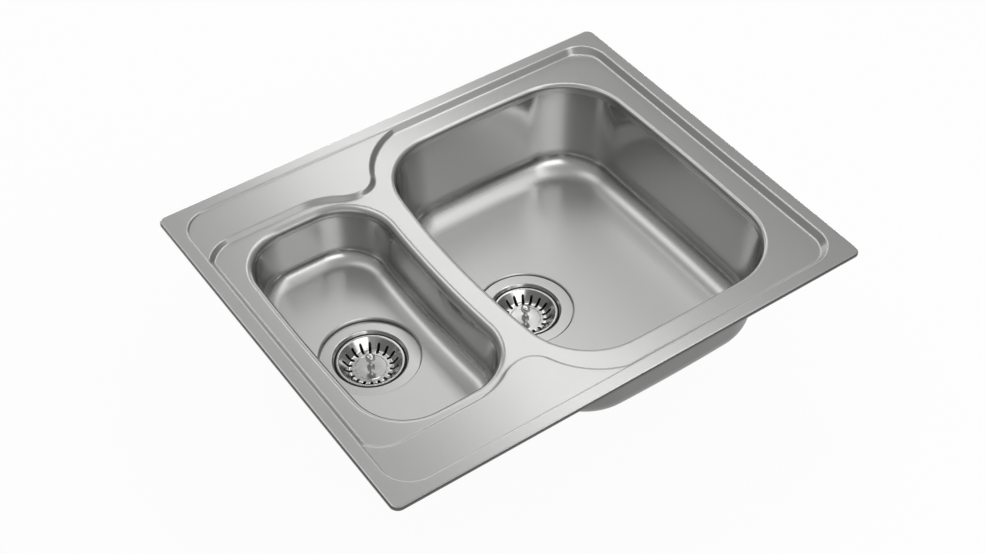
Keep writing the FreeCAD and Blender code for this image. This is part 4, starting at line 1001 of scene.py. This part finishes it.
# Bitumen damping sheet, pressed: charcoal, waxy, with a grain about 2.5 mm wide
bitumen, tree, shader, place = new_material("bitumen_sheet_pressed", "#3A3A3B")
grain = add(tree, "TexVoronoi", pattern(place, PRESS_MM), feature="SMOOTH_F1")
ramp = add(tree, "ValToRGB", {"Fac": grain})
waxy = add(tree, "MapRange", {"Value": grain, "To Min": 0.45, "To Max": 0.7})
press = add(tree, "Bump", {"Height": grain, "Strength": 0.6, "Distance": PRESS_DEPTH_MM * MM})
fill(shader, {"Base Color": shades(ramp, "#444445", "#2C2C2D"), "Roughness": waxy, "Normal": press})

# Polypropylene, moulded: creamy white with a soft gloss and a faint spark-eroded texture
plastic, tree, shader, place = new_material("polypropylene_moulded", "#E9E7E1")
fill(shader, {"IOR": 1.49, "Subsurface Weight": 0.08, "Subsurface Radius": (0.004, 0.004, 0.003)})
spark = add(tree, "TexNoise", {**pattern(place, SPARK_MM), "Detail": 3.0})
gloss = add(tree, "MapRange", {"Value": spark, "To Min": 0.32, "To Max": 0.46})
worn = add(tree, "Bump", {"Height": spark, "Strength": 0.15, "Distance": SPARK_DEPTH_MM * MM})
fill(shader, {"Roughness": gloss, "Normal": worn})
print("made", bitumen.name, "and", plastic.name)

# %% [markdown]
# The pieces underneath keep the shapes of the frame, because those are right as they are. Each takes the
# finish whose word is in its name. Nodes that a drawn piece stands for are hidden, and get buffed steel.

# %% Finishes of the frame's pieces
finishes = {
    "gasket": rubber, "waste_body": plastic, "clamp": steel_plated, "stem": steel_plated, "rim_seal": foam,
    "clip_brackets": steel_plated, "sound_pad": bitumen,
}
for name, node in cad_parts.items():
    found = [material for word, material in finishes.items() if word in name]
    wear(node, found[0] if found else steel_polished)
    print(name, "wears", node.data.materials[0].name)

# %% [markdown]
# ## The studio
# The floor is white paper. Rays from the camera, and rays mirrored in metal, see it nearly white, and
# the rest of its light comes from the lamps, so it keeps the sink's soft shadow. A brighter lamp would
# make it white too, but would wash out the steel.

# %% White floor
FLOOR_HALF, FLOOR_WHITE = 20000.0, 0.95
WHITE = (1, 1, 1, 1)
floor_level = cad_box[0][2] / MM
floor_plan = np.array([(-1, -1), (1, -1), (1, 1), (-1, 1)]) * FLOOR_HALF
floor = new_object("studio_floor", bpy.data.meshes.new("studio_floor"))
floor.data.from_pydata((at_height(floor_plan, floor_level) * MM).tolist(), [], [(0, 1, 2, 3)])
# Paper, uncoated: white and quite matt
paper, tree, shader, _ = new_material("paper_white_matt", "#F4F4F4")
fill(shader, {"Roughness": 0.9})
rays = add(tree, "LightPath").outputs
seen = rays["Is Camera Ray"]
for kind in ("Is Glossy Ray", "Is Transmission Ray"):
    seen = add(tree, "Math", {0: seen, 1: rays[kind]}, operation="MAXIMUM")
share = add(tree, "Math", {0: seen, 1: FLOOR_WHITE}, operation="MULTIPLY")
white = add(tree, "Emission", {"Color": WHITE, "Strength": 1.0})
mix = add(tree, "MixShader", {0: share, 1: shader, 2: white})
fill(tree.nodes["Material Output"], {"Surface": mix})
wear(floor, paper)
print("floor at", round(floor_level, 2), "mm")

# %% [markdown]
# One long strip lamp at the right runs from front to back. It gives the broad bright patch over the
# bridge and the front of the deck. A second, weaker softbox behind shows as the soft bright line along
# the right foot of each bowl. A wide low lamp behind draws the pale lines on rolls that turn away from
# the camera, and two more, no higher than the deck, light the outside of the bowls. These three leave the
# floor out, or their beams would show on it. A lamp in front lights the back walls by way of the bowls'
# rolls. It leaves the deck out, because the ledge's slope would mirror it as a white line. One more lamp
# at the front left lights the deck alone, which would look dark from behind.

# %% Lamps
def softbox(name, place, aim, size, watts):
    """A soft lamp at a place in mm, aimed at a point, of a width and a length."""
    data = bpy.data.lights.new(name, "AREA")
    data.shape = "RECTANGLE"
    data.size, data.size_y = size[0] * MM, size[1] * MM
    data.energy = watts
    lamp = new_object(name, data)
    lamp.location = Vector(place) * MM
    lamp.rotation_euler = (Vector(place) - Vector(aim)).to_track_quat("Z", "Y").to_euler()
    return lamp


def link_light(lamps, piece, state):
    """Make lamps light one piece alone (INCLUDE), or everything else (EXCLUDE)."""
    receivers = bpy.data.collections.new(f"{piece.name}_{state.lower()}")
    receivers.objects.link(piece)
    receivers.collection_objects[0].light_linking.link_state = state
    for lamp in lamps:
        lamp.light_linking.receiver_collection = receivers


softbox("strip_softbox", place=(730, 0, 1450), aim=(730, 0, 0), size=(340, 5000), watts=12.5)
softbox("back_softbox", place=(-470, 1150, 1450), aim=(-470, 1150, 0), size=(680, 1700), watts=5.0)
front_lamp = softbox(
    "front_softbox", place=(-250, -1700, 1300), aim=(100, 0, -100), size=(1400, 800), watts=8.0
)
deck_lamp = softbox("deck_softbox", place=(-1250, -1500, 950), aim=(0, 0, 0), size=(2600, 1000), watts=4.0)
low_lamps = [
    softbox("low_back_softbox", place=(-300, 1500, -95), aim=(0, 0, -95), size=(2400, 170), watts=7.8),
    softbox("low_right_softbox", place=(1500, 300, -95), aim=(0, 0, -95), size=(2400, 170), watts=7.8),
    softbox("horizon_softbox", place=(1100, 2300, 500), aim=(0, 0, 100), size=(3600, 1100), watts=14.3),
]
for lamp in [deck_lamp] + low_lamps:
    lamp.visible_camera = False
link_light(low_lamps, floor, "EXCLUDE")
link_light([front_lamp], deck, "EXCLUDE")
link_light([deck_lamp], deck, "INCLUDE")
print("lamps:", [light.name for light in bpy.data.lights])

# %% [markdown]
# The room is pale above and fades from the ceiling down to the horizon, which is why steep walls look
# darker than the flat deck.

# %% Room
HORIZON, CEILING = 0.234, 0.572
world = bpy.data.worlds.new("studio_room")
world.use_nodes = True
bpy.context.scene.world = world
tree = world.node_tree
way = add(tree, "TexCoord").outputs["Generated"]
height = add(tree, "SeparateXYZ", {"Vector": way}).outputs["Z"]
level = add(tree, "MapRange", {"Value": height, "To Min": HORIZON, "To Max": CEILING})
fill(tree.nodes["Background"], {"Color": WHITE, "Strength": level})
bpy.context.scene.view_settings.view_transform = "Standard"
print("room from", HORIZON, "at the horizon to", CEILING, "above")
